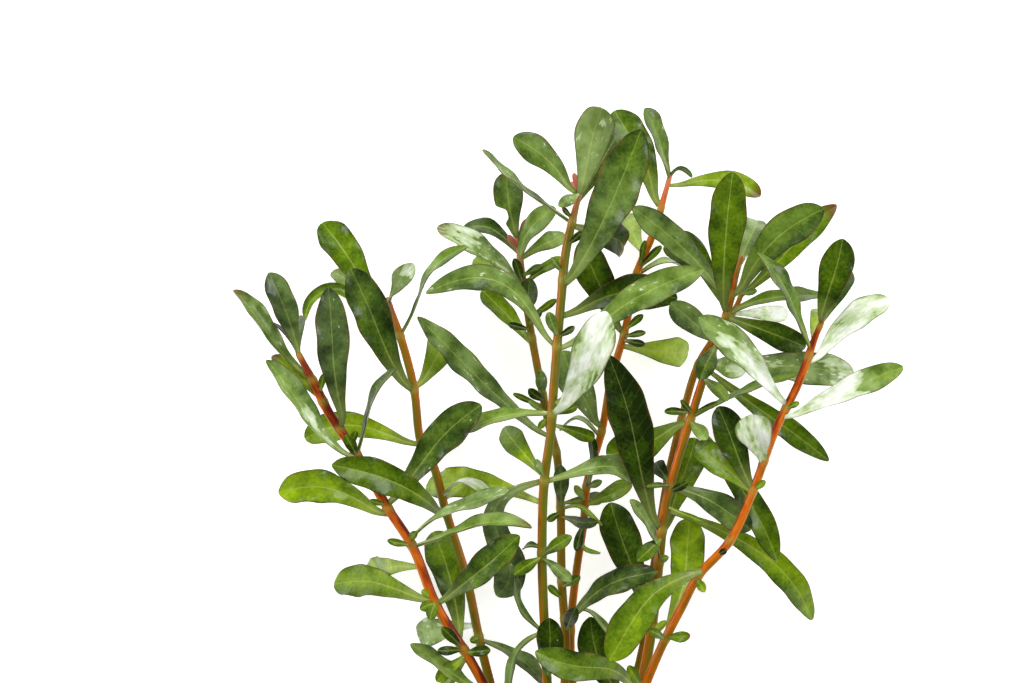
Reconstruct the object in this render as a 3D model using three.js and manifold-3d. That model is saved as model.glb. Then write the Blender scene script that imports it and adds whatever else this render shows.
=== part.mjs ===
// A branching stem plant, as picked and laid on its back: eight leafy shoots fork from one short root crown.
// Millimetres. The shoots run along +Y, +X is the viewer's right, and +Z points up from the surface below.
import * as THREE from "three";
import Module from "manifold-3d";

const wasm = await Module();
wasm.setup();

// The crown is a short woody stub, cut flat at y = 0, which lies on the surface.
const CROWN_RADIUS = 9;
const CROWN_LENGTH = 9.5;
const CROWN_X = 1.7;
const CROWN_SIDES = 16;
// Its outline, as shares of its radius and of its length. A flat of its widest band rests on the surface.
const CROWN_OUTLINE = [[0.92, 0], [1, 0.25], [0.99, 0.8], [0.96, 1]];
const SOCKET_DEPTH = 2;

// A stem is round with a slight taper. A large leaf's stalk stops short of its stem by the gap, and a stem
// stops short of its socket's wall.
const STEM_SIDES = 7;
const STEM_STEPS = 13;
const GAP = 0.3;

// A leaf is a thin blade, narrow at its stalk and widest at about 0.7 of its length, with a rounded tip.
const BLADE_THICKNESS = 0.55;
const STALK_THICKNESS = 0.9;
const STALK_SHARE = 0.17;
const STALK_LEAST = 0.45;
const STALK_END = 1 / 3;
const WIDEST_POWER = 2;
const ROUNDNESS = 0.62;
const FOLD = 0.12;
const LEAF_RINGS = [0, 0.16, 0.4, 0.64, 0.84, 0.95];
const SMALL_RINGS = [0, 0.32, 0.62, 0.88];
const LEAFLET_RINGS = [0, 0.6];
const LEAFLET_WIDTH = 3.2;

const STEM_COLOUR = "#b4622a";
const LEAF_COLOUR = "#4a7a1c";
const CROWN_COLOUR = "#7a5a34";

// One entry for each shoot. line holds the points that the stem's middle runs through, from its foot up, and
// radius its radius at the foot and at the tip.
// A large leaf's row is: number, height of its foot on the stem, tip [x, y, z], width, roll, arch, sway.
// A small leaf's row is the same without a number, and it is grown on its stem.
// At roll 0 the upper face looks up at the viewer. roll turns it, in degrees, towards the right of a line
// from foot to tip. arch bows the midrib towards the upper face, and sway bows it to the right of that line.
const shoots = [
  {
    name: "left_outer",
    radius: [1.4, 1.25],
    line: [
      [-2.6, 8, 11.8], [-3.6, 13, 13.2], [-9, 27.5, 19.5], [-16.5, 41.3, 24.5], [-24, 55, 28],
      [-32.3, 68.5, 31], [-38.3, 83.3, 33], [-44.5, 93, 34.5], [-52.5, 106.8, 35.5],
      [-59.3, 117, 36], [-62.8, 124, 36], [-67.3, 132.5, 36],
    ],
    leaves: [
      [1, 112.8, [-58, 147.8, 50], 8.6, 10, 2, -1.8],
      [2, 105.8, [-74.8, 129.8, 44], 7.5, 38, 1, -2.4],
      [3, 91.8, [-72, 96.8, 30], 9, 15, 3, 3.2],
      [4, 93.8, [-21.5, 119, 42], 9, -10, 2, -1],
      [5, 69, [-12, 86, 48], 7.8, -15, 3, 1],
      [6, 69.8, [-58.5, 73, 6], 8.5, 10, 2, 2.2],
      [7, 59.5, [-33, 87, 8], 8.8, 0, 0.8, 1],
    ],
    small: [
      [124.5, [-82.8, 147.8, 26], 6.5, 40, 1, -2.2],
      [131.5, [-73.3, 151.8, 46], 7, 20, 1, 0],
      [131.5, [-66.5, 141.5, 24], 4, -20, 1, 0],
      [130.5, [-73.3, 139.8, 33], 3.5, 75, 0.5, 0],
      [119.5, [-73.5, 131.3, 31], 5, 30, 1, 0],
      [106.3, [-43, 128.3, 45], 6, -75, 1.5, 0],
      [78.3, [-50.3, 77.5, 0.5], 6.5, 0, 2, 0],
      [83.3, [-8.8, 90, 47], 6, -60, 2, 0],
      [85, [-14.5, 98, 42], 5, -55, 2, 0],
      [56, [-31.5, 40, 20], 5, 40, 3, 0],
      [44.5, [-38.5, 59.5, 30], 6, 50, 2, 0],
      [105.8, [-55, 111.3, 40], 3, 0, 0.5, 0],
      [93.8, [-48.8, 95, 40], 1.6, 0, 0.3, 0],
      [83.5, [-44.5, 85, 38], 2, 0, 0.3, 0],
      [85, [-37.3, 87.3, 38], 2, 0, 0.3, 0],
      [69.5, [-36.3, 68, 37], 2.8, 0, 0.5, 0],
      [69.5, [-34, 65.3, 38], 3, 0, 0.5, 0],
      [58, [-30.8, 63.3, 36], 2.8, 0, 0.5, 0],
      [57.5, [-32, 57.3, 34], 2.5, 0, 0.5, 0],
      [56.5, [-32.5, 49.8, 31], 3.5, 0, 0.8, 0],
      [57, [-18.8, 57.3, 34], 3, 0, 0.8, 0],
    ],
  },
  {
    name: "left_inner",
    radius: [1.3, 1.1],
    line: [
      [-4.6, 8, 7.4], [-6, 13, 8.6], [-11.5, 25, 13], [-16.5, 40, 17], [-20.5, 55, 19.5],
      [-21.8, 60.5, 20.3], [-25, 75.8, 22], [-30, 91.8, 24], [-33.3, 103.8, 25], [-36.3, 109.3, 25.3],
      [-38, 122.5, 26], [-40.3, 132, 26], [-44.8, 145.8, 26],
    ],
    leaves: [
      [1, 144.5, [-61.5, 164.3, 20], 8.6, 10, 2, -0.2],
      [2, 122.5, [-54.3, 152.5, 40], 9.6, 10, 2, -0.6],
      [3, 123, [-29.3, 135.8, 12], 8, 0, 2, 0],
      [4, 109, [-65.8, 110.5, 14], 7.5, 0, 3, 4],
      [5, 91.5, [-57.5, 104, 52], 8.3, 10, 4, 1.8],
      [6, 63.5, [-37, 59.8, 4], 7.5, 0, 2, 1],
    ],
    small: [
      [135.5, [-65, 141, 10], 3.4, 20, 2, 9],
      [141, [-59.3, 152, 0.5], 5, 20, 1, 0],
      [144.3, [-38.5, 153.8, 40], 5, -35, 1, 0],
      [136, [-24.8, 158.3, 36], 5, -75, 3, 0],
      [95.5, [-19, 96.3, 33], 4.5, -70, 4, 0],
      [59.8, [-5.3, 49.3, 22], 6, -50, 2, 0],
      [60.3, [-24, 59.5, 24], 2, 0, 0.3, 0],
    ],
  },
  {
    name: "mid_left",
    radius: [1.3, 1],
    line: [
      [-1.4, 8, 3.8], [-1, 13, 4.8], [-0.5, 25, 8], [-0.3, 45, 14], [0, 60, 16.5], [-1, 74.5, 17.5],
      [-1.3, 93, 18], [-2.3, 106.3, 18], [-4.3, 113.8, 18], [-5.8, 121.3, 18], [-8.5, 135.5, 18],
      [-10.8, 150, 19], [-12.3, 162, 20],
    ],
    leaves: [
      [1, 160.8, [-15, 177, 26], 7.6, 0, 1, -0.5],
      [2, 110.8, [-36, 141.8, 28], 7, 25, 3, -3],
      [3, 64.8, [22.8, 76.8, 38], 6.5, -20, 3, -2.3],
    ],
    small: [
      [148, [-32, 163.5, 26], 6.5, 35, 3, 0],
      [156.5, [-26.3, 162.5, 10], 5, 30, 3, 2],
      [145, [-22.8, 155.8, 0.5], 6.5, 0, 2, 0],
      [133.5, [-21.3, 147.3, 8], 5.5, 20, 1.5, 0],
      [154.5, [-2.5, 168, 24], 5.5, -20, 2, -2],
      [155, [0, 161.5, 10], 5, -20, 1.5, 0],
      [148, [-0.8, 155.5, 26], 4, -50, 1, 0],
      [142, [-9.5, 150.3, 34], 5, 0, 1, 0],
      [121.3, [-6.3, 127.5, 28], 3, 0, 1, 0],
      [93, [-1.5, 103.8, 28], 4, 10, 1, 0],
      [93.8, [9.5, 95.5, 6], 3.5, 0, 1, 0],
      [90.8, [8, 89.3, 32], 3.5, 30, 1, 0],
      [66.8, [11.5, 59.5, 25], 4, -70, 3.5, 0],
      [62, [2.3, 68, 27], 3.5, 0, 0.5, 0],
      [149.5, [-13, 155.3, 26], 2.5, 0, 0.5, 0],
      [161, [-9.5, 165.3, 22], 1.6, 0, 0.3, 0],
      [137.5, [-14.5, 139, 22], 2, 0, 0.3, 0],
      [139, [-6.3, 142.5, 24], 2.3, 0, 0.3, 0],
      [140.5, [-2.3, 145, 22], 2, 0, 0.3, 0],
      [119.5, [-9.3, 122.5, 23], 2.5, 0, 0.5, 0],
      [118, [-13.3, 121.5, 19], 1.6, 0, 0.3, 0],
      [73, [3.5, 75.8, 24], 2.5, 0, 0.5, 0],
      [70, [-4.5, 73.3, 20], 2, 0, 0.3, 0],
      [92, [-4.5, 89.5, 20], 2, 0, 0.3, 0],
    ],
  },
  {
    name: "centre",
    radius: [1.3, 1.2],
    line: [
      [1.2, 8, 13.6], [0.6, 13, 15.6], [-1.5, 22.5, 22], [-4, 40, 30], [-5.3, 62, 36.5], [-6, 82, 40],
      [-5.5, 99.5, 42], [-3.8, 112.5, 43], [-3.3, 120.8, 43.5], [-2.3, 133.3, 44], [-1.3, 145, 44], [0, 157.5, 44],
      [3.5, 172.5, 44.5],
    ],
    leaves: [
      [1, 171.3, [-13.3, 185.3, 48], 7.4, 15, 1.5, 1.4],
      [2, 171.5, [9.5, 192.8, 54], 9.6, 180, 1, 0.7],
      [3, 149, [18.8, 186.5, 62], 11.6, -10, 3, 1.5],
      [4, 163.5, [15.2, 158, 28], 8.3, -10, 2, -0.5],
      [5, 133.5, [-33.3, 147.8, 42], 7, 20, 3, 7],
      [6, 141, [27.8, 145.3, 38], 9, -5, 2, -3.5],
      [7, 132.8, [34.5, 151.8, 54], 7.8, -10, 3, -2],
      [8, 116.8, [9.5, 141.8, 60], 10, -5, 2, 1.7],
      [9, 94.5, [-35.5, 97.8, 10], 8.3, 5, 3, 2.5],
      [10, 99.8, [-17.5, 70.8, 28], 8.5, 0, 3, 4.5],
      [11, 99.8, [20.3, 97.3, 30], 8.5, -40, 8, 0],
    ],
    small: [
      [169, [12.5, 185.5, 32], 6, 0, 1, 0],
      [164, [-20.5, 183, 38], 6, 75, -1.6, 0],
      [171.5, [-1.5, 168.3, 54], 3, 0, 0.5, 0],
      [116.5, [-25.8, 112.5, 36], 6, 50, 2, 0],
      [100.8, [-16.5, 113.5, 26], 6.3, 0, 2, 0],
      [114, [7.3, 110.5, 34], 3.5, 0, 1, 0],
      [81, [0.8, 86.3, 52], 3.5, -20, 0.5, 0],
      [81, [-13, 76.8, 48], 3.5, 10, 0.5, 0],
      [83, [-10.8, 82.8, 38], 3, 60, 1, 0],
      [80.5, [1, 75, 50], 3.5, -30, 0.5, 0],
      [61.8, [-13, 76.8, 42], 4.5, 60, -3, 0],
      [62.3, [-15.3, 36.3, 26], 5, 40, 3, 3],
      [50, [-4.5, 65.8, 44], 7, 0, 1, 0.5],
      [116.3, [2.8, 118.5, 44], 2.3, 0, 0.4, 0],
      [135.5, [-4.5, 141.8, 48], 2.8, 0, 0.5, 0],
      [100.5, [-7.5, 105.3, 45], 2, 0, 0.4, 0],
      [171.5, [1.8, 176.5, 46], 1.6, 0, 0.3, 0],
      [171, [1, 174.3, 41], 1.5, 0, 0.3, 0],
    ],
  },
  {
    name: "mid_right",
    radius: [1.15, 1],
    line: [
      [3.4, 8, 3.6], [3.7, 13, 4], [4, 25, 5.5], [2, 45, 9], [1.3, 62, 12], [2.8, 77.5, 14],
      [4.5, 88.8, 15.5], [5.3, 98.8, 17], [9, 112, 19], [11.3, 125, 20], [14.8, 137.3, 21], [17.8, 151.8, 22],
      [22, 162, 23], [26.3, 176.8, 24],
    ],
    leaves: [
      [1, 168.3, [11.8, 192.5, 16], 9.2, 0, 2, 1.9],
      [2, 173.8, [48.5, 172, 18], 5.3, 0, 1.5, -1.5],
      [3, 136.8, [4, 160, 30], 9, 0, 2, 0],
      [4, 133.5, [31, 131.5, 1.5], 7.5, 0, 2, 0],
      [5, 113.2, [-1, 132, 28], 8.5, 0, 2, 0],
    ],
    small: [
      [175.5, [20.3, 193, 32], 6.5, 50, 0.4, 0],
      [176, [31.5, 175.8, 27], 2.5, -60, 2, 0],
      [156.5, [14.8, 166.3, 0.5], 6, 0, 1, 0],
      [151, [31, 152.5, 14], 4.5, -70, 3, 0],
      [110.5, [-1.5, 112.3, 14], 4, 70, 4, 0],
      [97.5, [6.5, 110.8, 28], 3.5, 50, 1, 0],
      [93.5, [16.5, 98.3, 24], 3.5, 0, 1, 0],
      [93, [15.5, 99.5, 10], 3.5, 0, 1, 0],
      [153, [20, 159.8, 27], 1.6, 0, 0.3, 0],
      [153, [24, 158.5, 25], 2, 0, 0.3, 0],
      [136, [20, 136.8, 25], 1.8, 0, 0.3, 0],
      [135, [19.8, 133.8, 24], 2, 0, 0.3, 0],
      [89, [2.5, 82.3, 22], 2.5, 0, 0.4, 0],
      [98, [9, 99.5, 22], 2, 0, 0.3, 0],
    ],
  },
  {
    name: "right_inner",
    radius: [1.6, 1],
    line: [
      [7.8, 8, 8.6], [8.6, 13, 10], [13.5, 25, 16], [17.5, 37.5, 20.5], [19.3, 49.3, 24], [21.5, 62.8, 27],
      [23.3, 79.8, 30], [24.3, 90, 31.5], [26, 98.3, 33], [31, 115, 34], [35.8, 130, 35.5],
      [40, 141.3, 36], [42.8, 152.5, 36], [44, 156, 36],
    ],
    leaves: [
      [1, 145, [16.8, 168.5, 42], 7.4, 25, 2, 0.6],
      [2, 142, [40.5, 176.3, 52], 9.4, 0, 2, -0.4],
      [3, 146.3, [63.8, 167.8, 44], 9, -10, 2, -2.8],
      [4, 129, [72.5, 127, 28], 8.5, 0, 1.5, -0.8],
      [5, 114, [10, 106.3, 30], 9.5, 0, 1.5, -1.5],
      [6, 87.8, [11.3, 131, 50], 10.5, 5, 3, 0],
      [7, 87, [32.3, 110.8, 24], 8, 0, 2, 0],
      [8, 114.5, [53.3, 79.3, 28], 7, -10, 2, -1],
      [9, 92.3, [62.8, 64.8, 1], 7.5, 0, 4, -5],
      [10, 67, [11, 94.3, 26], 9.5, 0, 2, 0],
      [11, 47.5, [-7.8, 57, 48], 7.5, 0, 3, 2],
    ],
    small: [
      [134.3, [26.3, 144.3, 44], 6.5, 0, 1.5, 0],
      [153, [48, 165.3, 20], 6.3, 0, 2, 0],
      [147, [24.5, 158.5, 26], 4, 20, 1, 0],
      [141, [65, 147, 28], 6, -50, 2, 0],
      [140.8, [60, 133.5, 34], 6.5, 0, 2, 0],
      [115.5, [58.5, 127, 38], 5.5, -70, 1, 0],
      [133.5, [33.3, 125.5, 48], 5, 0, 1, 0],
      [129, [45, 127.8, 43], 5.5, 0, 1, 0],
      [125.8, [40.3, 120, 44], 3.3, 0, 1, 0],
      [98, [46, 87.5, 37], 7.5, -20, 2, -1.2],
      [85.5, [18, 80, 42], 4, 0, 1, 0],
      [98.8, [22.3, 104.5, 26], 4, 0, 0.5, 0],
      [80, [16.5, 95.5, 44], 4, 60, 1, 0],
      [115, [35, 110, 40], 3.5, 0, 0.6, 0],
      [117, [24.5, 117.3, 37], 2, 0, 0.4, 0],
      [116.5, [28.8, 120, 39], 1.6, 0, 0.3, 0],
      [116.5, [38, 119.5, 35], 1.6, 0, 0.3, 0],
      [98.8, [20.3, 98.8, 44], 1.6, 0, 0.3, 0],
      [80, [25.3, 80.8, 36], 2, 0, 0.3, 0],
    ],
  },
  {
    name: "right_back",
    radius: [1.15, 1],
    line: [
      [6.8, 8, 5], [7.9, 13, 5.6], [12.5, 25, 8], [15.5, 37.5, 11], [17.5, 49.3, 13], [19.8, 60, 15.5],
      [21, 70, 17], [23.5, 87.5, 19], [25.5, 100, 20], [29.5, 117, 20.5], [33.5, 129.5, 21],
      [42.3, 142.5, 21], [44.5, 147.8, 21],
    ],
    leaves: [
      [1, 129, [66.5, 104.3, 0.6], 7, 0, 3, 0],
      [2, 44, [6, 65.5, 22], 8.4, 0, 2, -2],
    ],
    small: [
      [141, [29.8, 162.8, 18], 5, 0, 1, 0],
      [146, [67.8, 169, 24], 6.3, 0, 1.5, 0],
      [141.5, [56.3, 141.8, 0.6], 4.5, 0, 1, 0],
      [146.5, [47.8, 147.5, 25], 2, 0, 0.3, 0],
    ],
  },
  {
    name: "right_outer",
    radius: [1.3, 1.1],
    line: [
      [5.2, 8, 12.6], [6.4, 13, 14.6], [13, 30, 25], [17.5, 42.5, 31], [21.3, 52.5, 34.5],
      [24.8, 60.5, 36.3], [28.8, 68.3, 38], [32.8, 76, 40], [40.8, 85, 41.5], [46.5, 97.5, 42.5], [52, 112.5, 44],
      [57.8, 124.3, 44], [62, 135.8, 44], [64.3, 141, 44],
    ],
    leaves: [
      [1, 139.5, [68.8, 159.8, 56], 8.3, 0, 1.5, 0],
      [2, 129.5, [80.5, 145.3, 40], 7.2, -15, 2, -1.6],
      [3, 116, [83.3, 129, 54], 6.5, -10, 2, 0],
      [4, 118.8, [32.8, 140, 58], 7.7, 10, 3, 1.3],
      [5, 77.5, [11.3, 54.8, 50], 9.5, 0, 3, 4.5],
      [6, 61.8, [31.3, 90.5, 20], 9, 0, 2, 1.5],
    ],
    small: [
      [138.5, [71.5, 153, 30], 4.5, 0, 1, 0],
      [132.5, [48, 157, 56], 6, 50, 1.5, 0],
      [134.3, [63, 143, 28], 3.8, 0, 0.5, 0],
      [104.3, [42.5, 114.5, 54], 6.5, 0, 1, 0],
      [97.5, [37.5, 118.3, 46], 8, 0, 0, 0],
      [97, [32.5, 109.5, 38], 7, 0, 1, 0],
      [75.5, [34.3, 72.5, 45], 2.3, 0, 0.4, 0],
      [60.5, [30.8, 61.5, 41], 2.8, 0, 0.4, 0],
      [60.5, [20.8, 62.8, 43], 2.3, 0, 0.4, 0],
      [118, [57.8, 119.3, 48], 1.6, 0, 0.3, 0],
    ],
  },
];

const UP = new THREE.Vector3(0, 0, 1);
// A place on a stem is found by halving its length this many times.
const HALVINGS = 24;

// The points of the rings, joined ring to ring. A flat lid closes the first ring. The last ring closes to a
// point where tip is given, and with a flat lid otherwise.
function skin(rings, tip) {
  const sides = rings[0].length;
  const points = rings.flat();
  const faces = [];
  for (let k = 1; k < sides - 1; k++) faces.push([0, k + 1, k]);
  for (let i = 0; i + 1 < rings.length; i++) {
    for (let k = 0; k < sides; k++) {
      const a = i * sides + k;
      const b = i * sides + ((k + 1) % sides);
      faces.push([a, b, b + sides], [a, b + sides, a + sides]);
    }
  }
  const last = (rings.length - 1) * sides;
  if (tip) {
    points.push(tip);
    for (let k = 0; k < sides; k++) faces.push([last + k, last + ((k + 1) % sides), points.length - 1]);
  } else {
    for (let k = 1; k < sides - 1; k++) faces.push([last, last + k, last + k + 1]);
  }
  return { points, faces };
}

function solid({ points, faces }) {
  const vertProperties = new Float32Array(points.flatMap((p) => [p.x, p.y, p.z]));
  const triVerts = new Uint32Array(faces.flat());
  return new wasm.Manifold(new wasm.Mesh({ numProp: 3, vertProperties, triVerts }));
}

function geometry(made, origin) {
  const { numProp, vertProperties, triVerts } = made.getMesh();
  const places = new Float32Array((vertProperties.length / numProp) * 3);
  for (let i = 0; i < places.length / 3; i++) {
    places[3 * i] = vertProperties[numProp * i] - origin.x;
    places[3 * i + 1] = vertProperties[numProp * i + 1] - origin.y;
    places[3 * i + 2] = vertProperties[numProp * i + 2] - origin.z;
  }
  const shape = new THREE.BufferGeometry();
  shape.setAttribute("position", new THREE.BufferAttribute(places, 3));
  shape.setIndex([...triVerts]);
  return shape;
}

function mesh(name, made, origin, colour, roughness) {
  const material = new THREE.MeshStandardMaterial({ color: colour, roughness, metalness: 0 });
  const piece = new THREE.Mesh(geometry(made, origin), material);
  piece.name = name;
  piece.position.copy(origin);
  return piece;
}

// The stem's middle line, and its radius at a share of its length.
function stemOf(shoot) {
  const points = shoot.line.map((p) => new THREE.Vector3(...p));
  const curve = new THREE.CatmullRomCurve3(points, false, "centripetal");
  const foot = curve.getPointAt(0);
  const down = curve.getTangentAt(0).multiplyScalar(-SOCKET_DEPTH);
  const radiusAt = (t) => THREE.MathUtils.lerp(shoot.radius[0], shoot.radius[1], t);
  return { curve, foot: foot.add(down), radiusAt };
}

// The stem as a closed tube, fatter by extra all round. It starts at its foot inside the crown.
function tube(stem, extra) {
  const rings = [];
  for (let i = -1; i <= STEM_STEPS; i++) {
    const t = Math.max(i, 0) / STEM_STEPS;
    const middle = i < 0 ? stem.foot.clone() : stem.curve.getPointAt(t);
    const along = stem.curve.getTangentAt(t);
    if (i < 0) middle.addScaledVector(along, -extra);
    if (i === STEM_STEPS) middle.addScaledVector(along, extra);
    const side = new THREE.Vector3().crossVectors(along, UP).normalize();
    const front = new THREE.Vector3().crossVectors(side, along);
    const r = stem.radiusAt(t) + extra;
    const ring = [];
    for (let k = 0; k < STEM_SIDES; k++) {
      const turn = (2 * Math.PI * k) / STEM_SIDES;
      const point = middle.clone().addScaledVector(side, r * Math.cos(turn));
      ring.push(point.addScaledVector(front, -r * Math.sin(turn)));
    }
    rings.push(ring);
  }
  return solid(skin(rings));
}

// The share of the stem's length at which it passes a height, found by halving.
function shareAt(curve, height) {
  let low = 0;
  let high = 1;
  for (let i = 0; i < HALVINGS; i++) {
    const middle = (low + high) / 2;
    if (curve.getPointAt(middle).y < height) low = middle;
    else high = middle;
  }
  return low;
}

// A leaf's foot: on the stem's middle for a grown one, and clear of the stem's side for a separate one.
function footOf(stem, height, tip, separate) {
  const t = shareAt(stem.curve, height);
  const middle = stem.curve.getPointAt(t);
  if (!separate) return middle;
  const along = stem.curve.getTangentAt(t);
  const out = tip.clone().sub(middle);
  out.addScaledVector(along, -out.dot(along)).normalize();
  return middle.addScaledVector(out, stem.radiusAt(t) + GAP + STALK_LEAST);
}

// A blade from foot to tip. Its midrib is the chord with arch and sway added as half sine waves, and its half
// width is a narrow stalk that swells as a sine of the squared share of its length. Each section is a diamond
// whose two edges rise a little, which folds the blade along its midrib.
function blade(foot, tip, width, roll, arch, sway, shares) {
  const chord = tip.clone().sub(foot);
  const along = chord.clone().normalize();
  const normal = UP.clone().addScaledVector(along, -UP.dot(along)).normalize();
  normal.applyAxisAngle(along, THREE.MathUtils.degToRad(roll));
  const side = new THREE.Vector3().crossVectors(along, normal);
  const rings = shares.map((t) => {
    const bow = Math.sin(Math.PI * t);
    const middle = foot.clone().addScaledVector(chord, t);
    middle.addScaledVector(normal, arch * bow).addScaledVector(side, sway * bow);
    const swell = Math.pow(Math.sin(Math.PI * Math.pow(t, WIDEST_POWER)), ROUNDNESS);
    const half = Math.max((width / 2) * (STALK_SHARE + (1 - STALK_SHARE) * swell), STALK_LEAST);
    const thick = THREE.MathUtils.lerp(STALK_THICKNESS, BLADE_THICKNESS, Math.min(1, t / STALK_END)) / 2;
    return [
      middle.clone().addScaledVector(side, -half).addScaledVector(normal, FOLD * half),
      middle.clone().addScaledVector(normal, thick),
      middle.clone().addScaledVector(side, half).addScaledVector(normal, FOLD * half),
      middle.clone().addScaledVector(normal, -thick),
    ];
  });
  return solid(skin(rings, tip));
}

const plant = new THREE.Group();

const crownRings = CROWN_OUTLINE.map(([share, height]) => {
  const ring = [];
  const out = (share * CROWN_RADIUS) / Math.cos(Math.PI / CROWN_SIDES);
  for (let k = 0; k < CROWN_SIDES; k++) {
    const turn = (2 * Math.PI * (k + 0.5)) / CROWN_SIDES;
    const x = CROWN_X + out * Math.cos(turn);
    ring.push(new THREE.Vector3(x, height * CROWN_LENGTH, CROWN_RADIUS - out * Math.sin(turn)));
  }
  return ring;
});
let crown = solid(skin(crownRings));

for (const shoot of shoots) {
  const stem = stemOf(shoot);
  crown = crown.subtract(tube(stem, GAP));
  let grown = tube(stem, 0);
  for (const [height, end, ...form] of shoot.small) {
    const tip = new THREE.Vector3(...end);
    const shares = form[0] > LEAFLET_WIDTH ? SMALL_RINGS : LEAFLET_RINGS;
    grown = grown.add(blade(footOf(stem, height, tip, false), tip, ...form, shares));
  }
  plant.add(mesh(`${shoot.name}_stem`, grown, stem.foot, STEM_COLOUR, 0.4));
  for (const [number, height, end, ...form] of shoot.leaves) {
    const tip = new THREE.Vector3(...end);
    const foot = footOf(stem, height, tip, true);
    const made = blade(foot, tip, ...form, LEAF_RINGS);
    plant.add(mesh(`${shoot.name}_leaf_${number}`, made, foot, LEAF_COLOUR, 0.3));
  }
}
plant.add(mesh("crown", crown, new THREE.Vector3(CROWN_X, 0, CROWN_RADIUS), CROWN_COLOUR, 0.7));

// The plant's lowest point touches z = 0, and its middle is at x = 0 and y = 0.
const box = new THREE.Box3().setFromObject(plant);
const centre = box.getCenter(new THREE.Vector3());
plant.position.set(-centre.x, -centre.y, -box.min.z);

export default plant;
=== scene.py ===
import math

import bpy
import numpy as np
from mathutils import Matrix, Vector


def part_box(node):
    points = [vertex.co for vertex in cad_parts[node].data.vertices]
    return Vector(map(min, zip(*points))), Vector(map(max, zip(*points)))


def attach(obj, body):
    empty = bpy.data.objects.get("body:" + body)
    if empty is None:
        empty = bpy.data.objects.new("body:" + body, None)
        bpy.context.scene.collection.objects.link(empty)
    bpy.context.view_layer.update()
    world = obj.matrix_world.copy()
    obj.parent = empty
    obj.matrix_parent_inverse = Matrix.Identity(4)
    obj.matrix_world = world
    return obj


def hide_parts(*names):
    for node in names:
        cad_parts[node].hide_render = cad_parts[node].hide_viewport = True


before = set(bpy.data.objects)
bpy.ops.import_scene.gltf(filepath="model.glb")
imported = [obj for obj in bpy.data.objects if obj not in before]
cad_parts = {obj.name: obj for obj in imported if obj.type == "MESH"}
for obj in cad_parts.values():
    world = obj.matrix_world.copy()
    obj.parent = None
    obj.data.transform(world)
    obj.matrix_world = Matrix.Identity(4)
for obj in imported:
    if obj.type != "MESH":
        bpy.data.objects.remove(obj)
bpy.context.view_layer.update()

# The root crown: a short stub of brown, fibrous tissue from which all the shoots fork. It is cut flat below,
# where it was lifted from its roots, and its lengthwise ridges and trimmed root stumps are as they grew.
# The whole plant is laid out in millimetres from the middle of that cut, so its box sets where that is.
MM = 0.001
CROWN_LENGTH = 9.5
CROWN_RADIUS = 9.0
CROWN_X = 1.7
# Shares of the radius with shares of the length, and the share of the length at which the top's middle lies.
CROWN_PROFILE = [(0.55, 0.0), (0.9, 0.02), (0.97, 0.1), (1.0, 0.3), (0.99, 0.62), (0.95, 0.84), (0.84, 0.96),
                 (0.6, 1.0)]
CROWN_TOP = 0.97
CROWN_RINGS, CROWN_AROUND = 56, 120
# How many ridges stand round the stub, their slant in radians for each millimetre, and their height.
CROWN_RIDGES = [(7, 0.4, 0.22), (23, 0.9, 0.12), (41, -1.3, 0.1)]
RELIEF_ROOM = 0.35
CUT_HOLLOW = 0.35
ROOT_STUMPS = 26
STUMP_HEIGHT, STUMP_SPREAD = 0.5, 0.45
STUMP_FROM, STUMP_TO = 1, 7
low, high = (np.array(corner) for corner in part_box("crown"))
ORIGIN = np.array([(low[0] + high[0]) / 2 - CROWN_X * MM, low[1], low[2]])


def linear(colour):
    """An sRGB hex colour as linear red, green, blue and full alpha."""
    parts = [int(colour[i:i + 2], 16) / 255 for i in (1, 3, 5)]
    return [c / 12.92 if c <= 0.04045 else ((c + 0.055) / 1.055) ** 2.4 for c in parts] + [1.0]


def add(tree, kind, inputs=None, stops=(), **settings):
    """Adds a shader node with its settings. An input that is a node or a socket is linked, any other is set.
    A colour ramp's stops are places with sRGB hex colours."""
    made = tree.nodes.new("ShaderNode" + kind)
    for name, value in settings.items():
        setattr(made, name, value)
    for key, value in (inputs or {}).items():
        if isinstance(value, bpy.types.Node):
            value = value.outputs[0]
        if isinstance(value, bpy.types.NodeSocket):
            tree.links.new(value, made.inputs[key])
        else:
            made.inputs[key].default_value = value
    for number, (place, colour) in enumerate(stops):
        if number >= 2:
            made.color_ramp.elements.new(place)
        made.color_ramp.elements[number].position = place
        made.color_ramp.elements[number].color = linear(colour)
    return made


def skin(rings, around):
    """Faces that join each ring of points to the next and close round it. One point before the first ring and
    one after the last ring close the ends. The points are numbered ring by ring, and those two come last."""
    ring = np.arange(rings - 1)[:, None] * around
    here = np.arange(around)
    beside = (here + 1) % around
    walls = np.stack([ring + here, ring + beside, ring + beside + around, ring + here + around], -1)
    last = (rings - 1) * around
    foot = np.stack([np.full(around, rings * around), beside, here], -1)
    tip = np.stack([last + here, last + beside, np.full(around, rings * around + 1)], -1)
    return walls.reshape(-1, 4), np.vstack([foot, tip])


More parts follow.
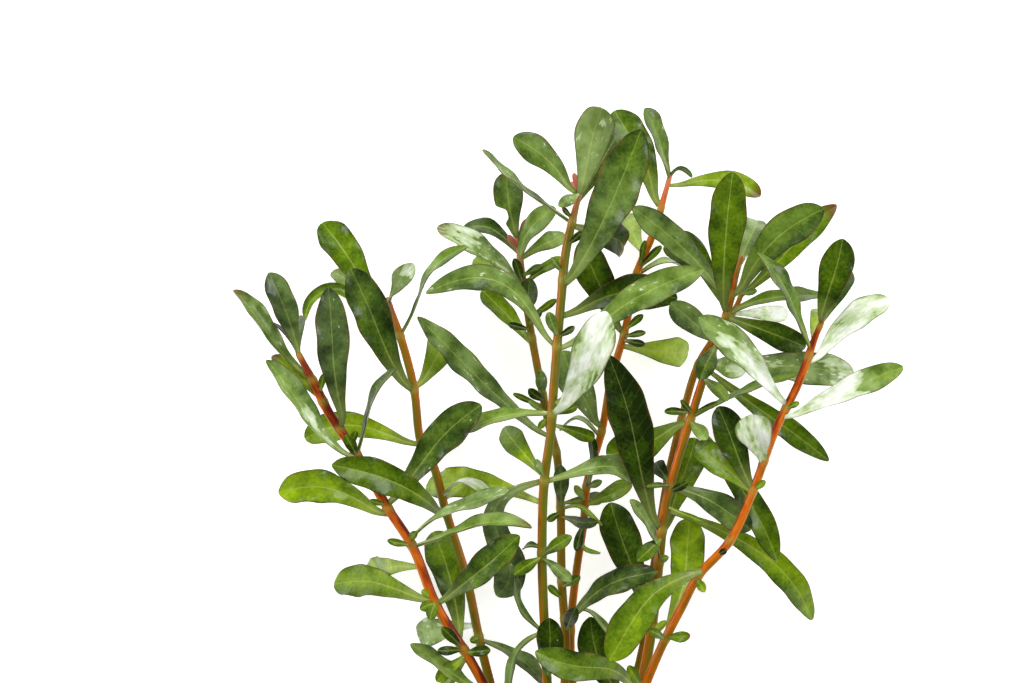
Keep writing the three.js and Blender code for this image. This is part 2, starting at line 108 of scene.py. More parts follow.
def piece(name, points, quads, triangles, material, slot, replaced, **marks):
    """A smooth mesh from arrays of points in plant millimetres and of faces, riding on the one body. Each
    mark is an array of three numbers for each point, kept as an attribute that the material reads."""
    mesh = bpy.data.meshes.new(name)
    mesh.vertices.add(len(points))
    mesh.vertices.foreach_set("co", (points * MM + ORIGIN).ravel())
    sizes = np.concatenate([np.full(len(quads), 4), np.full(len(triangles), 3)])
    mesh.loops.add(int(sizes.sum()))
    mesh.loops.foreach_set("vertex_index", np.concatenate([quads.ravel(), triangles.ravel()]))
    mesh.polygons.add(len(sizes))
    mesh.polygons.foreach_set("loop_start", np.cumsum(sizes) - sizes)
    mesh.polygons.foreach_set("use_smooth", np.ones(len(sizes), bool))
    for mark, values in marks.items():
        mesh.attributes.new(mark, "FLOAT_VECTOR", "POINT").data.foreach_set("vector", values.ravel())
    mesh.update(calc_edges=True)
    mesh.materials.append(material)
    made = bpy.data.objects.new(name, mesh)
    bpy.context.scene.collection.objects.link(made)
    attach(made, "root")
    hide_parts(*replaced)


def crown_points():
    """The profile, in straight stretches, turned about the stub's axis along +Y. Blunt ridges and finer wavy
    ones are sines of the turn, and each root stump is a bell-shaped bump at its own seeded place."""
    random = np.random.default_rng(11)
    shares, heights = np.array(CROWN_PROFILE).T
    steps = np.linspace(0, 1, CROWN_RINGS)
    knots = np.linspace(0, 1, len(shares))
    out = np.interp(steps, knots, shares)[:, None] * CROWN_RADIUS
    along = np.interp(steps, knots, heights)[:, None] * CROWN_LENGTH
    turn = np.linspace(0, 2 * np.pi, CROWN_AROUND, endpoint=False)[None, :]
    side = np.sin(np.pi * along / CROWN_LENGTH) ** 0.5
    relief = sum(height * np.sin(count * turn + slant * along) for count, slant, height in CROWN_RIDGES)
    stump_turns = random.uniform(0, 2 * np.pi, ROOT_STUMPS)
    stump_places = random.uniform(STUMP_FROM, STUMP_TO, ROOT_STUMPS)
    for stump_turn, stump_place in zip(stump_turns, stump_places):
        round_stub = np.angle(np.exp(1j * (turn - stump_turn))) * CROWN_RADIUS
        away = round_stub ** 2 + (along - stump_place) ** 2
        relief = relief + STUMP_HEIGHT * np.exp(-away / STUMP_SPREAD)
    radius = np.minimum(out - RELIEF_ROOM + side * relief, CROWN_RADIUS)
    points = np.stack([CROWN_X + radius * np.cos(turn), along + 0 * turn,
                       CROWN_RADIUS - radius * np.sin(turn)], -1)
    ends = np.array([[CROWN_X, CUT_HOLLOW, CROWN_RADIUS], [CROWN_X, CROWN_LENGTH * CROWN_TOP, CROWN_RADIUS]])
    return np.vstack([points.reshape(-1, 3), ends]), skin(CROWN_RINGS, CROWN_AROUND)


# Fibrous root tissue: matt, dark in its furrows and paler on the ridges.
root_tissue = bpy.data.materials.new("fibrous_root_tissue")
root_tissue.use_nodes = True
tree = root_tissue.node_tree
body = tree.nodes["Principled BSDF"]
at = add(tree, "TexCoord").outputs["Object"]
FIBRE, STAIN = 0.5, 3.5
fibre_scale = np.array([1, 0.12, 1]) / (FIBRE * MM)
lengthwise = add(tree, "Mapping", {"Vector": at, "Scale": fibre_scale})
fibres = add(tree, "TexNoise", {"Vector": lengthwise, "Scale": 1.0, "Detail": 4.0, "Roughness": 0.6})
stains = add(tree, "TexNoise", {"Vector": at, "Scale": 1 / (STAIN * MM), "Detail": 3.0})
fibre_shade = add(tree, "Math", {0: fibres, 1: 0.6}, operation="MULTIPLY")
shade = add(tree, "Math", {0: stains, 1: 0.45, 2: fibre_shade}, operation="MULTIPLY_ADD")
brown = add(tree, "ValToRGB", {0: shade}, stops=[(0.3, "#2f1d10"), (0.5, "#5d4024"), (0.62, "#836039"),
                                                 (0.8, "#b0935f")])
tree.links.new(brown.outputs[0], body.inputs["Base Color"])
fibre_bump = add(tree, "Bump", {"Strength": 0.6, "Distance": 0.3 * MM, "Height": fibres})
tree.links.new(fibre_bump.outputs[0], body.inputs["Normal"])
body.inputs["Roughness"].default_value = 0.78
body.inputs["IOR"].default_value = 1.45

crown_mesh, (crown_walls, crown_ends) = crown_points()
piece("root_crown_stub", crown_mesh, crown_walls, crown_ends, root_tissue, "crown", ["crown"])


# The outer shoot on the left: a smooth, living stem, flushed orange to red-brown where the light reached it,
# with painted light and shade across it, and swollen at each joint, with narrow-stalked spoon-shaped leaves.
# All the shoots grew in the same way, so the line, the stem, the blade and both kinds of tissue that the
# other shoots share are made here.
UP = np.array([0.0, 0.0, 1.0])
LINE_STEPS = 24
STEM_STEP = 0.7
STEM_AROUND = 28
TIP_RINGS = np.array([0.5, 0.2, 0.05])
AHEAD = 0.5
SOCKET_DEPTH = 2.0
STEM_FIT = 0.93
JOINT_SWELL, JOINT_SPREAD = 0.16, 0.7
SCAR_ABOVE, SCAR_SPREAD, SCAR_DEPTH = 1.1, 0.18, 0.07
RIBS, RIB_SLANT, RIB_HEIGHT = 5, 0.05, 0.02
NECK, NECK_FROM = 0.45, 0.93
TIP_BALL = 1.0
BLUSH_FROM, BLUSH_SHARE = 0.94, 0.05
# A blade's least width, its steps from foot to tip, and its points from midrib to edge, as shares.
BLADE_GRIDS = [
    (7, 46, [0, 0.06, 0.14, 0.27, 0.42, 0.57, 0.72, 0.85, 0.93, 0.975, 1]),
    (3.4, 30, [0, 0.09, 0.24, 0.44, 0.64, 0.84, 0.95, 1]),
    (0, 16, [0, 0.25, 0.6, 0.88, 1]),
]
TIP_CROWDING = 1.6
FULL_WIDTH = 8
STALK_HALF, STALK_SHARE, PULL_SHARE = 0.45, 0.17, 0.12
GAP, BESIDE = 0.3, 0.2
TURN_FROM = 0.58
DROOP_HEIGHT = 25
FOLD, FOLD_ROUND = 0.1, 0.1
BITE_SPREAD = 0.11
UNEVEN, UNEVEN_LENGTH = 0.045, 1.7
WAVE_HEIGHT, WAVE_LENGTH = 0.48, 9
QUILT_HEIGHT = 0.08
VEIN_SPACING, VEIN_SLANT = 3.2, 0.9
STALK_THICK, BLADE_THICK = 0.9, 0.36
GROOVE_DEPTH, GROOVE_HALF = 0.12, 0.42
RIDGE_HEIGHT, RIDGE_HALF = 0.3, 0.4
FRESH_FROM, FRESH_SHARE = 0.55, 0.3
chance = np.random.default_rng(5)


def shoot_line(points):
    """A smooth line through a shoot's points. Each stretch between two is a cubic whose end slopes come from
    the points beside it, weighed by the square roots of their distances. Gives close places along the line,
    and the length up to each."""
    points = np.array(points, float)
    held = np.vstack([2 * points[0] - points[1], points, 2 * points[-1] - points[-2]])
    gaps = np.linalg.norm(np.diff(held, axis=0), axis=1)[:, None] ** 0.5
    before, here, after, beyond = held[:-3], held[1:-2], held[2:-1], held[3:]
    gap_before, gap, gap_after = gaps[:-2], gaps[1:-1], gaps[2:]
    leave = (here - before) / gap_before - (after - before) / (gap_before + gap) + (after - here) / gap
    reach = (after - here) / gap - (beyond - here) / (gap + gap_after) + (beyond - after) / gap_after
    leave, reach = leave * gap, reach * gap
    share = np.linspace(0, 1, LINE_STEPS, endpoint=False)[None, :, None]
    square, cube = 3 * (after - here) - 2 * leave - reach, 2 * (here - after) + leave + reach
    places = here[:, None] + leave[:, None] * share + square[:, None] * share ** 2
    places = places + cube[:, None] * share ** 3
    places = np.vstack([places.reshape(-1, 3), points[-1:]])
    return places, np.r_[0, np.cumsum(np.linalg.norm(np.diff(places, axis=0), axis=1))]


def place_at(places, run, length):
    """The point of a line at each length along it, between its close places."""
    return np.stack([np.interp(length, run, places[:, axis]) for axis in range(3)], -1)


def unit(vectors):
    """The vectors, each made one long."""
    return vectors / np.linalg.norm(vectors, axis=-1, keepdims=True)


def stem_points(places, run, radius, joints, flush_and_side_shading, blush):
    """Rings about the line, side by side along it. The radius runs evenly from foot to tip, swells as a bell
    curve at each joint, has a fine ring scar above it and five faint ribs, narrows below the tip, and ends in
    a half ball. The marks are the place on the skin, its redness, partly painted light and shade across the
    stem, how near a joint it is, and how pink."""
    length = run[-1]
    down = np.unique(np.r_[np.arange(-SOCKET_DEPTH, length, STEM_STEP), length - TIP_RINGS])[:, None]
    first = (place_at(places, run, AHEAD) - places[0]) / AHEAD
    middle = place_at(places, run, np.clip(down[:, 0], 0, None)) + first * np.minimum(down, 0)
    behind = np.clip(down[:, 0], 0, length - AHEAD)
    along = unit(place_at(places, run, behind + AHEAD) - place_at(places, run, behind))
    side = unit(np.cross(along, UP))
    front = np.cross(side, along)
    turn = np.linspace(0, 2 * np.pi, STEM_AROUND, endpoint=False)[None, :]
    spots = np.interp(joints, places[:, 1], run)[None, :]
    near = np.exp(-((down - spots) / JOINT_SPREAD) ** 2 / 2).max(1)[:, None]
    scar = np.exp(-((down - spots - SCAR_ABOVE) / SCAR_SPREAD) ** 2 / 2).max(1)[:, None]
    share = np.clip(down / length, 0, 1)
    ribs = RIB_HEIGHT * np.cos(RIBS * turn + RIB_SLANT * down)
    out = (radius[0] + (radius[1] - radius[0]) * share) * STEM_FIT
    out = out * (1 - NECK * np.clip((share - NECK_FROM) / (1 - NECK_FROM), 0, 1))
    out = out * (1 + JOINT_SWELL * near + ribs) - SCAR_DEPTH * scar
    out = out * np.sqrt(1 - np.clip((down - length) / TIP_BALL + 1, 0, 1) ** 2 + 1e-6)
    points = middle[:, None] + out[..., None] * (
        np.cos(turn)[..., None] * side[:, None] - np.sin(turn)[..., None] * front[:, None])
    # The redness is set for each side, and the difference between the sides is partly painted light and shade
    # across the stem.
    right = 0.5 + 0.5 * np.cos(turn)
    (foot_left, foot_right), (tip_left, tip_right) = flush_and_side_shading
    tint = (foot_left + (foot_right - foot_left) * right) * (1 - share)
    tint = tint + (tip_left + (tip_right - tip_left) * right) * share
    tipward = blush * np.clip((share - BLUSH_FROM) / BLUSH_SHARE, 0, 1)
    seed = chance.uniform(0, 400)
    marks = {
        "stem_mm": np.stack([down + seed + 0 * turn, out * np.cos(turn), out * np.sin(turn)], -1),
        "stem_look": np.stack([tint, near + 0 * turn, tipward + 0 * turn], -1),
    }
    for name, values in marks.items():
        closing = np.vstack([values[0].mean(0), values[-1].mean(0)])
        marks[name] = np.vstack([values.reshape(-1, 3), closing])
    ends = np.vstack([middle[0], places[-1]])
    return np.vstack([points.reshape(-1, 3), ends]), skin(len(down), STEM_AROUND), marks


def blade_points(foot, tip, width, roll, arch, sway, tone, pale, pull=None, twist=0.0, curl=0.24, bend=0.0,
                 lift=0.0, hook=0.0, droop=0.0, wave=1.0, point=0.0, brown=0.0, pink=0.0, fresh=0.0,
                 bite=None):
    """A blade from foot to tip. t is the share of its length, and across runs from the left edge to the right
    on the upper face and back on the lower one. The midrib is the chord with arch, towards the upper face,
    and sway, to the right, added as half sine waves, and lift and bend as whole ones. Its outer part turns to
    the right by hook degrees and down by droop degrees, and pull draws its foot into the stem. The faces are
    rolled by roll degrees about the chord, and by twist more from foot to tip. The half width is a narrow
    stalk that swells as a power of the sine of a power of t, and point moves the widest place down and
    narrows the tip. Each section is an arc of curl radians a side, folded along the midrib, with waves along
    the edge, a quilting between the side veins, a grooved midrib above and its ridge below. bite is a notch's
    place, depth and side. tone is how light the green is, partly the leaf's own green and partly painted
    light and shade, pale how much painted white gloss it has, fresh how much less white it is at the tip,
    brown how brown the tip is, and pink how pink the blade. Each blade's turns, fold, waves and shade are its
    own, and its shade is painted lighter on one side of the midrib than the other."""
    steps, halves = next((steps, np.array(halves)) for least, steps, halves in BLADE_GRIDS if width >= least)
    t = (1 - (1 - np.linspace(0, 1, steps, endpoint=False)) ** TIP_CROWDING)[:, None]
    across = np.r_[-halves[:0:-1], halves]
    face = np.r_[0, np.ones(len(across) - 2), 0, -np.ones(len(across) - 2)][None, :]
    across = np.r_[across, across[-2:0:-1]][None, :]
    foot, tip = np.array(foot, float), np.array(tip, float)
    chord = tip - foot
    length = np.linalg.norm(chord)
    twist = twist + chance.uniform(-14, 14)
    wave = wave * chance.uniform(0.5, 1.6)
    bend = bend + length * chance.uniform(-0.012, 0.012)
    lift = lift + length * chance.uniform(-0.02, 0.02)
    fold = FOLD + chance.uniform(-0.08, 0.1)
    phase = chance.uniform(0, 6.28)
    hook = hook + chance.uniform(-6, 6)
    droop = droop + chance.uniform(0, 14) * min(tip[2] / DROOP_HEIGHT, 1)
    along = chord / length
    level = unit(UP - along * (UP @ along))
    beside = np.cross(along, level)
    rolled = np.radians(roll)
    normal = level * np.cos(rolled) + beside * np.sin(rolled)
    side = np.cross(along, normal)
    bow, swing = np.sin(np.pi * t), np.sin(2 * np.pi * t)
    middle = foot + chord * t + normal * (arch * bow + lift * swing) + side * (sway * bow + bend * swing)
    steps_out = np.diff(middle, axis=0)
    reach = np.linalg.norm(steps_out, axis=1)[:, None]
    late = np.clip((t[1:] - TURN_FROM) / (1 - TURN_FROM), 0, 1)
    over, down = np.radians(hook) * late, np.radians(droop) * late
    steps_out = steps_out * np.cos(over) * np.cos(down)
    steps_out = steps_out + (side * np.sin(over) * np.cos(down) - normal * np.sin(down)) * reach
    middle = np.vstack([middle[:1], middle[0] + np.cumsum(steps_out, axis=0)])
    heading = unit(np.gradient(middle, axis=0))
    if pull is not None:
        middle = middle - pull * np.clip(1 - t / PULL_SHARE, 0, 1) ** 2
    turned = np.radians(roll + twist * (t - 0.5))
    normal = level * np.cos(turned) + beside * np.sin(turned)
    side = unit(np.cross(heading, normal))
    normal = np.cross(side, heading)
    swell = np.sin(np.pi * t ** (2 - 0.45 * point)) ** max(0.62 + 0.4 * point, 0.45)
    uneven = 1 + UNEVEN * swell * np.sin(t * length / UNEVEN_LENGTH + phase + 1.9 * np.sign(across))
    half = width / 2 * (STALK_SHARE + (1 - STALK_SHARE) * swell) * uneven
    half = np.maximum(half, STALK_HALF) * np.sqrt(1 - t ** 40)
    if bite is not None:
        place, depth, edge = bite
        torn = np.exp(-((t - place) / BITE_SPREAD) ** 4) * (np.sign(across) == edge)
        half = half * (1 - depth * torn)
    size = min(width / FULL_WIDTH, 1)
    down, offset, edgeward = t * length, half * across, np.abs(across)
    crease = np.sqrt(across ** 2 + FOLD_ROUND ** 2) - FOLD_ROUND
    ripple = np.sin(2 * np.pi * down / WAVE_LENGTH + phase + 2 * across)
    quilt = np.cos(2 * np.pi * (down - VEIN_SLANT * np.abs(offset)) / VEIN_SPACING)
    height = half * ((1 - np.cos(curl * across)) / curl + fold * crease)
    height = height + WAVE_HEIGHT * wave * size * swell * edgeward ** 3 * ripple
    height = height + QUILT_HEIGHT * size * swell * quilt * np.sqrt(edgeward * (1 - edgeward))
    thin = np.clip(3 * t, 0, 1)
    rim = np.sqrt(1 - edgeward ** (2 + 4 * thin))
    thick = (STALK_THICK - (STALK_THICK - BLADE_THICK) * thin) * rim * np.minimum(half / STALK_HALF, 1)
    groove = GROOVE_DEPTH * (face > 0) * np.exp(-(offset / GROOVE_HALF) ** 2) * (1 - 0.5 * t)
    ridge = RIDGE_HEIGHT * (face < 0) * np.exp(-(offset / RIDGE_HALF) ** 2) * (1 - 0.85 * t)
    height = height + face * thick / 2 - size * thin * (groove + ridge)
    points = middle[:, None] + side[:, None] * (half * np.sin(curl * across) / curl)[..., None]
    points = points + normal[:, None] * height[..., None]
    ends = np.vstack([middle[0], middle[-1] + (middle[-1] - middle[-2]) * 0.1])
    seed = chance.uniform(0, 90)
    # Painted light and shade: one side of the midrib is lighter and the other darker, by a share drawn for
    # each blade, and the tone runs lighter or darker from foot to tip.
    painted_side_light = chance.uniform(-0.12, 0.12)
    rise = chance.uniform(-0.156, 0.156)
    shade = tone + chance.uniform(-0.03, 0.03) + painted_side_light * across + rise * (t - 0.5)
    # pale sets how much white gloss is painted on the blade, less towards the tip by fresh.
    paled = pale * (1 - fresh * np.clip((t - FRESH_FROM) / FRESH_SHARE, 0, 1))
    tint = brown + 2 * pink
    ones = np.ones_like(offset)
    marks = {
        "leaf_mm": np.stack([down * ones, offset, seed * ones], -1),
        "leaf_share": np.stack([t * ones, edgeward * ones, (1 - face) / 2 * ones], -1),
        "leaf_look": np.stack([shade * ones, paled * ones, tint * ones], -1),
    }
    closing = {
        "leaf_mm": [[0, 0, seed], [length, 0, seed]],
        "leaf_share": [[0, 0, 0.5], [1, 1, 0.5]],
        "leaf_look": [[tone, pale, tint], [tone, paled[-1, 0], tint]],
    }
    marks = {name: np.vstack([values.reshape(-1, 3), closing[name]]) for name, values in marks.items()}
    return np.vstack([points.reshape(-1, 3), ends]), skin(steps, across.shape[1]), marks


# Living stem: a waxy skin, olive green where it grew shaded and flushed orange to dark red where it grew in
# the light, with painted light and shade across it, paler at the joints and with a brown ring at each. Its
# fine lengthwise streaks are the strands below the skin.
stem_skin = bpy.data.materials.new("living_stem_skin")
stem_skin.use_nodes = True
tree = stem_skin.node_tree
body = tree.nodes["Principled BSDF"]
straight = add(tree, "Attribute", attribute_name="stem_mm").outputs["Vector"]
look = add(tree, "SeparateXYZ", {0: add(tree, "Attribute", attribute_name="stem_look").outputs["Vector"]})
STRAND, PATCH = 0.35, 6.25
lengthwise = add(tree, "Mapping", {"Vector": straight, "Scale": (0.05 / STRAND, 0.5 / STRAND, 0.5 / STRAND)})
strands = add(tree, "TexNoise", {"Vector": lengthwise, "Scale": 1.0, "Detail": 3.0, "Roughness": 0.6})
patches = add(tree, "TexNoise", {"Vector": straight, "Scale": 1 / PATCH, "Detail": 2.0})
streaked = add(tree, "Math", {0: strands, 1: 0.6, 2: look.outputs["X"]}, operation="MULTIPLY_ADD")
flushed = add(tree, "Math", {0: patches, 1: 0.5, 2: streaked}, operation="MULTIPLY_ADD")
centred = add(tree, "Math", {0: flushed, 1: 0.55}, operation="SUBTRACT")
colour = add(tree, "ValToRGB", {0: centred}, stops=[(0.0, "#566a16"), (0.22, "#5e5f0a"), (0.42, "#7c6006"),
                                                    (0.6, "#965a02"), (0.76, "#cc6804"), (0.9, "#a23e02"),
                                                    (1.0, "#6a1e02")])
jointed = add(tree, "Math", {0: look.outputs["Y"], 1: 0.5}, operation="MULTIPLY")
colour = add(tree, "MixRGB", {"Fac": jointed, "Color1": colour, "Color2": linear("#97953c")})
ringed = add(tree, "MapRange", {"Value": look.outputs["Y"], "From Min": 0.94, "To Max": 0.5})
colour = add(tree, "MixRGB", {"Fac": ringed.outputs[0], "Color1": colour, "Color2": linear("#4e3a12")})
colour = add(tree, "MixRGB", {"Fac": look.outputs["Z"], "Color1": colour, "Color2": linear("#e0806a")})
tree.links.new(colour.outputs[0], body.inputs["Base Color"])
strand_bump = add(tree, "Bump", {"Strength": 0.5, "Distance": 0.2 * MM, "Height": strands})
tree.links.new(strand_bump.outputs[0], body.inputs["Normal"])
body.inputs["Roughness"].default_value = 0.36
body.inputs["IOR"].default_value = 1.25
body.inputs["Coat Weight"].default_value = 0.08
body.inputs["Coat Roughness"].default_value = 0.12

# Leaf blade: a glossy waxy skin over green tissue that goes from near black to yellow-green, partly with its
# age and partly as painted light and shade, which also makes one side of the midrib lighter than the other
# and the edges darker. The midrib is a pale line and the side veins are faint. The glossiest leaves have a
# painted grey-green sheen, painted white reflections in streaks, about 9 mm by 4 mm, and painted white
# highlights in flecks, 2 mm by 0.7 mm.
leaf_skin = bpy.data.materials.new("waxy_leaf_blade")
leaf_skin.use_nodes = True
tree = leaf_skin.node_tree
body = tree.nodes["Principled BSDF"]
flat = add(tree, "Attribute", attribute_name="leaf_mm").outputs["Vector"]
spot = add(tree, "SeparateXYZ", {0: flat})
share = add(tree, "SeparateXYZ", {0: add(tree, "Attribute", attribute_name="leaf_share").outputs["Vector"]})
look = add(tree, "SeparateXYZ", {0: add(tree, "Attribute", attribute_name="leaf_look").outputs["Vector"]})
BLOTCH, BUCKLE, MOTTLE = 5.0, 3.0, 0.8
blotches = add(tree, "TexNoise", {"Vector": flat, "Scale": 1 / BLOTCH, "Detail": 3.0, "Roughness": 0.55})
mottle = add(tree, "TexNoise", {"Vector": flat, "Scale": 1 / MOTTLE, "Detail": 2.0})
blotched = add(tree, "Math", {0: blotches, 1: 0.72, 2: look.outputs["X"]}, operation="MULTIPLY_ADD")
mottled = add(tree, "Math", {0: mottle, 1: 0.36, 2: blotched}, operation="MULTIPLY_ADD")
# Painted shade: the green is darker towards the edges of the blade.
painted_edge_shade = add(tree, "Math", {0: share.outputs["Y"], 1: -0.16, 2: mottled}, operation="MULTIPLY_ADD")
tone = add(tree, "Math", {0: painted_edge_shade, 1: 0.485}, operation="SUBTRACT")
colour = add(tree, "ValToRGB", {0: tone}, stops=[(0.0, "#152402"), (0.22, "#304804"), (0.48, "#5b7804"),
                                                 (0.75, "#87a40f"), (1.0, "#b4cd30")])
off_rib = add(tree, "Math", {0: spot.outputs["Y"]}, operation="ABSOLUTE")
slanted = add(tree, "Math", {0: off_rib, 1: -VEIN_SLANT, 2: spot.outputs["X"]}, operation="MULTIPLY_ADD")
wandering = add(tree, "Math", {0: blotches, 1: 2.2, 2: slanted}, operation="MULTIPLY_ADD")
rows = add(tree, "Math", {0: wandering, 1: 2 * math.pi / VEIN_SPACING}, operation="MULTIPLY")
crest = add(tree, "Math", {0: rows}, operation="COSINE")
veins = add(tree, "MapRange", {"Value": crest, "From Min": 0.92, "From Max": 1.0, "To Max": 0.1})
veins = add(tree, "Math", {0: veins, 1: blotches}, operation="MULTIPLY")
colour = add(tree, "MixRGB", {"Fac": veins, "Color1": colour, "Color2": linear("#a9bd5e")})
rib_half = add(tree, "MapRange", {"Value": share.outputs["X"], "To Min": 0.32, "To Max": 0.07})
rib_place = add(tree, "Math", {0: off_rib, 1: rib_half.outputs[0]}, operation="DIVIDE")
rib = add(tree, "MapRange", {"Value": rib_place, "From Min": 1.2, "From Max": 0.4, "To Max": 0.9})
under = add(tree, "Math", {0: share.outputs["Z"], 1: 0.5}, operation="MULTIPLY")
colour = add(tree, "MixRGB", {"Fac": under, "Color1": colour, "Color2": linear("#6f8040")})
stalk = add(tree, "MapRange", {"Value": share.outputs["X"], "From Min": 0.36, "From Max": 0.0, "To Max": 0.7})
colour = add(tree, "MixRGB", {"Fac": stalk.outputs[0], "Color1": colour, "Color2": linear("#8b9a4e")})
rib_share = add(tree, "MapRange", {"Value": tone, "To Min": 0.22, "To Max": 0.75})
rib_shade = add(tree, "MixRGB", {"Fac": rib_share.outputs[0], "Color1": colour, "Color2": linear("#abb262")})
colour = add(tree, "MixRGB", {"Fac": rib.outputs[0], "Color1": colour, "Color2": rib_shade})
# Painted sheen: a grey-green veil in patches, stronger the higher pale is, stands for the gloss reflecting
# the light.
painted_sheen_patches = add(tree, "MapRange", {"Value": blotches, "From Min": 0.38, "From Max": 0.62, "To Min": 0.25})
painted_sheen = add(tree, "Math", {0: look.outputs["Y"], 1: painted_sheen_patches.outputs[0]}, operation="MULTIPLY")
colour = add(tree, "MixRGB", {"Fac": painted_sheen, "Color1": colour, "Color2": linear("#9db47a")})
stretched = add(tree, "Mapping", {"Vector": flat, "Scale": (0.11, 0.26, 1.0)})
pools = add(tree, "TexNoise", {"Vector": stretched, "Scale": 1.0, "Detail": 3.0, "Roughness": 0.45})
# Painted highlights: small white flecks where the gloss catches the light, more of them the higher pale is.
flecks = add(tree, "Mapping", {"Vector": flat, "Scale": (0.5, 1.4, 1.0)})
flecks = add(tree, "TexNoise", {"Vector": flecks, "Scale": 1.0, "Detail": 2.0})
painted_glints = add(tree, "Math", {0: look.outputs["Y"], 1: 0.22, 2: flecks}, operation="MULTIPLY_ADD")
painted_glints = add(tree, "Math", {0: blotches, 1: 0.45, 2: painted_glints}, operation="MULTIPLY_ADD")
painted_glints = add(tree, "MapRange", {"Value": painted_glints, "From Min": 1.015, "From Max": 1.065, "To Max": 0.65})
colour = add(tree, "MixRGB", {"Fac": painted_glints.outputs[0], "Color1": colour, "Color2": linear("#e8efdb")})
# Painted reflection: on the glossiest blades, white streaks stand for the wet gloss reflecting the light,
# fewer towards the edges.
painted_gloss = add(tree, "Math", {0: look.outputs["Y"], 1: 0.75, 2: pools}, operation="MULTIPLY_ADD")
painted_gloss = add(tree, "Math", {0: flecks, 1: 0.3, 2: painted_gloss}, operation="MULTIPLY_ADD")
painted_gloss = add(tree, "Math", {0: share.outputs["Y"], 1: -0.08, 2: painted_gloss}, operation="MULTIPLY_ADD")
painted_gloss_white = add(tree, "MapRange", {"Value": painted_gloss, "From Min": 1.18, "From Max": 1.4})
painted_gloss_colour = add(tree, "MixRGB", {"Fac": painted_gloss_white.outputs[0], "Color1": linear("#b4c890"),
                                   "Color2": linear("#f6faf0")})
painted_gloss = add(tree, "MapRange", {"Value": painted_gloss, "From Min": 1.14, "From Max": 1.17, "To Max": 0.9})
colour = add(tree, "MixRGB", {"Fac": painted_gloss.outputs[0], "Color1": colour, "Color2": painted_gloss_colour})
margin = add(tree, "MapRange", {"Value": share.outputs["Y"], "From Min": 0.88, "From Max": 0.98,
                                "To Max": 0.75})
edge_shade = add(tree, "ValToRGB", {0: blotches}, stops=[(0.42, "#27300f"), (0.6, "#6a3a1c")])
colour = add(tree, "MixRGB", {"Fac": margin.outputs[0], "Color1": colour, "Color2": edge_shade})
tipward = add(tree, "MapRange", {"Value": share.outputs["X"], "From Min": 0.84, "From Max": 0.97})
browned = add(tree, "Math", {0: look.outputs["Z"], 1: 1.0}, operation="MINIMUM")
browned = add(tree, "Math", {0: browned, 1: tipward.outputs[0]}, operation="MULTIPLY")
colour = add(tree, "MixRGB", {"Fac": browned, "Color1": colour, "Color2": linear("#6b4420")})
blushed = add(tree, "Math", {0: look.outputs["Z"], 1: 1.0}, operation="SUBTRACT", use_clamp=True)
colour = add(tree, "MixRGB", {"Fac": blushed, "Color1": colour, "Color2": linear("#bf6c5c")})
tree.links.new(colour.outputs[0], body.inputs["Base Color"])
sheen = add(tree, "MapRange", {"Value": mottle, "From Min": 0.3, "From Max": 0.7, "To Min": 0.26,
                               "To Max": 0.38})
tree.links.new(sheen.outputs[0], body.inputs["Roughness"])
grain = add(tree, "Bump", {"Strength": 0.4, "Distance": 0.15 * MM, "Height": mottle})
buckles = add(tree, "TexNoise", {"Vector": flat, "Scale": 1 / BUCKLE, "Detail": 1.0})
buckled = add(tree, "Bump", {"Strength": 0.35, "Distance": 0.5 * MM, "Height": buckles, "Normal": grain})
crests = add(tree, "Bump", {"Strength": 0.2, "Distance": 0.08 * MM, "Height": crest, "Normal": buckled})
tree.links.new(crests.outputs[0], body.inputs["Normal"])
body.inputs["IOR"].default_value = 1.24
body.inputs["Coat Weight"].default_value = 0.1
body.inputs["Coat Roughness"].default_value = 0.1


def grow(name, radius, line, joints, flush_and_side_shading, blush, leaves, small):
    """One shoot. line holds the points that its middle runs through, from its foot up, radius its radius at
    the foot and the tip, and joints the heights of its swollen joints. flush is how red the left and right
    sides are, at the foot and at the tip, with the difference between them partly painted light and shade,
    and blush how pink the tip is. A leaf's row is the height of its foot, its tip, width, roll, arch, sway,
    tone, partly painted light and shade, and paleness, its painted white gloss, and what else sets it apart.
    Small leaves have
    the same rows. They start from the stem's middle, and are one piece that also stands for the stem's
    node."""
    places, run = shoot_line(line)
    points, (walls, ends), marks = stem_points(places, run, radius, joints, flush_and_side_shading, blush)
    stem = f"{name}_stem"
    piece(f"{name}_shoot_stem", points, walls, ends, stem_skin, "stem", [stem], **marks)
    parts = []
    for number, (height, tip, *form) in enumerate(small + leaves):
        others = form.pop() if isinstance(form[-1], dict) else {}
        length = np.interp(height, places[:, 1], run)
        foot = place_at(places, run, length)
        if number >= len(small):
            along = unit(place_at(places, run, length + BESIDE) - place_at(places, run, length - BESIDE))
            out = np.array(tip) - foot
            out = unit(out - along * (out @ along))
            thick = radius[0] + (radius[1] - radius[0]) * length / run[-1]
            foot = foot + out * (thick + GAP + STALK_HALF)
            others = dict(others, pull=out * (GAP + STALK_HALF + 0.5 * thick))
        points, (walls, ends), marks = blade_points(foot, tip, *form, **others)
        if number < len(small):
            parts.append((points, walls, ends, marks))
            continue
        leaf = number - len(small) + 1
        node = f"{name}_leaf_{leaf}"
        piece(f"{name}_shoot_leaf_{leaf}", points, walls, ends, leaf_skin, "leaf", [node], **marks)
    starts = np.cumsum([0] + [len(part[0]) for part in parts])
    points = np.vstack([part[0] for part in parts])
    walls = np.vstack([part[1] + start for part, start in zip(parts, starts)])
    ends = np.vstack([part[2] + start for part, start in zip(parts, starts)])
    marks = {mark: np.vstack([part[3][mark] for part in parts]) for mark in parts[0][3]}
    piece(f"{name}_shoot_small_leaves", points, walls, ends, leaf_skin, "leaf", [stem], **marks)


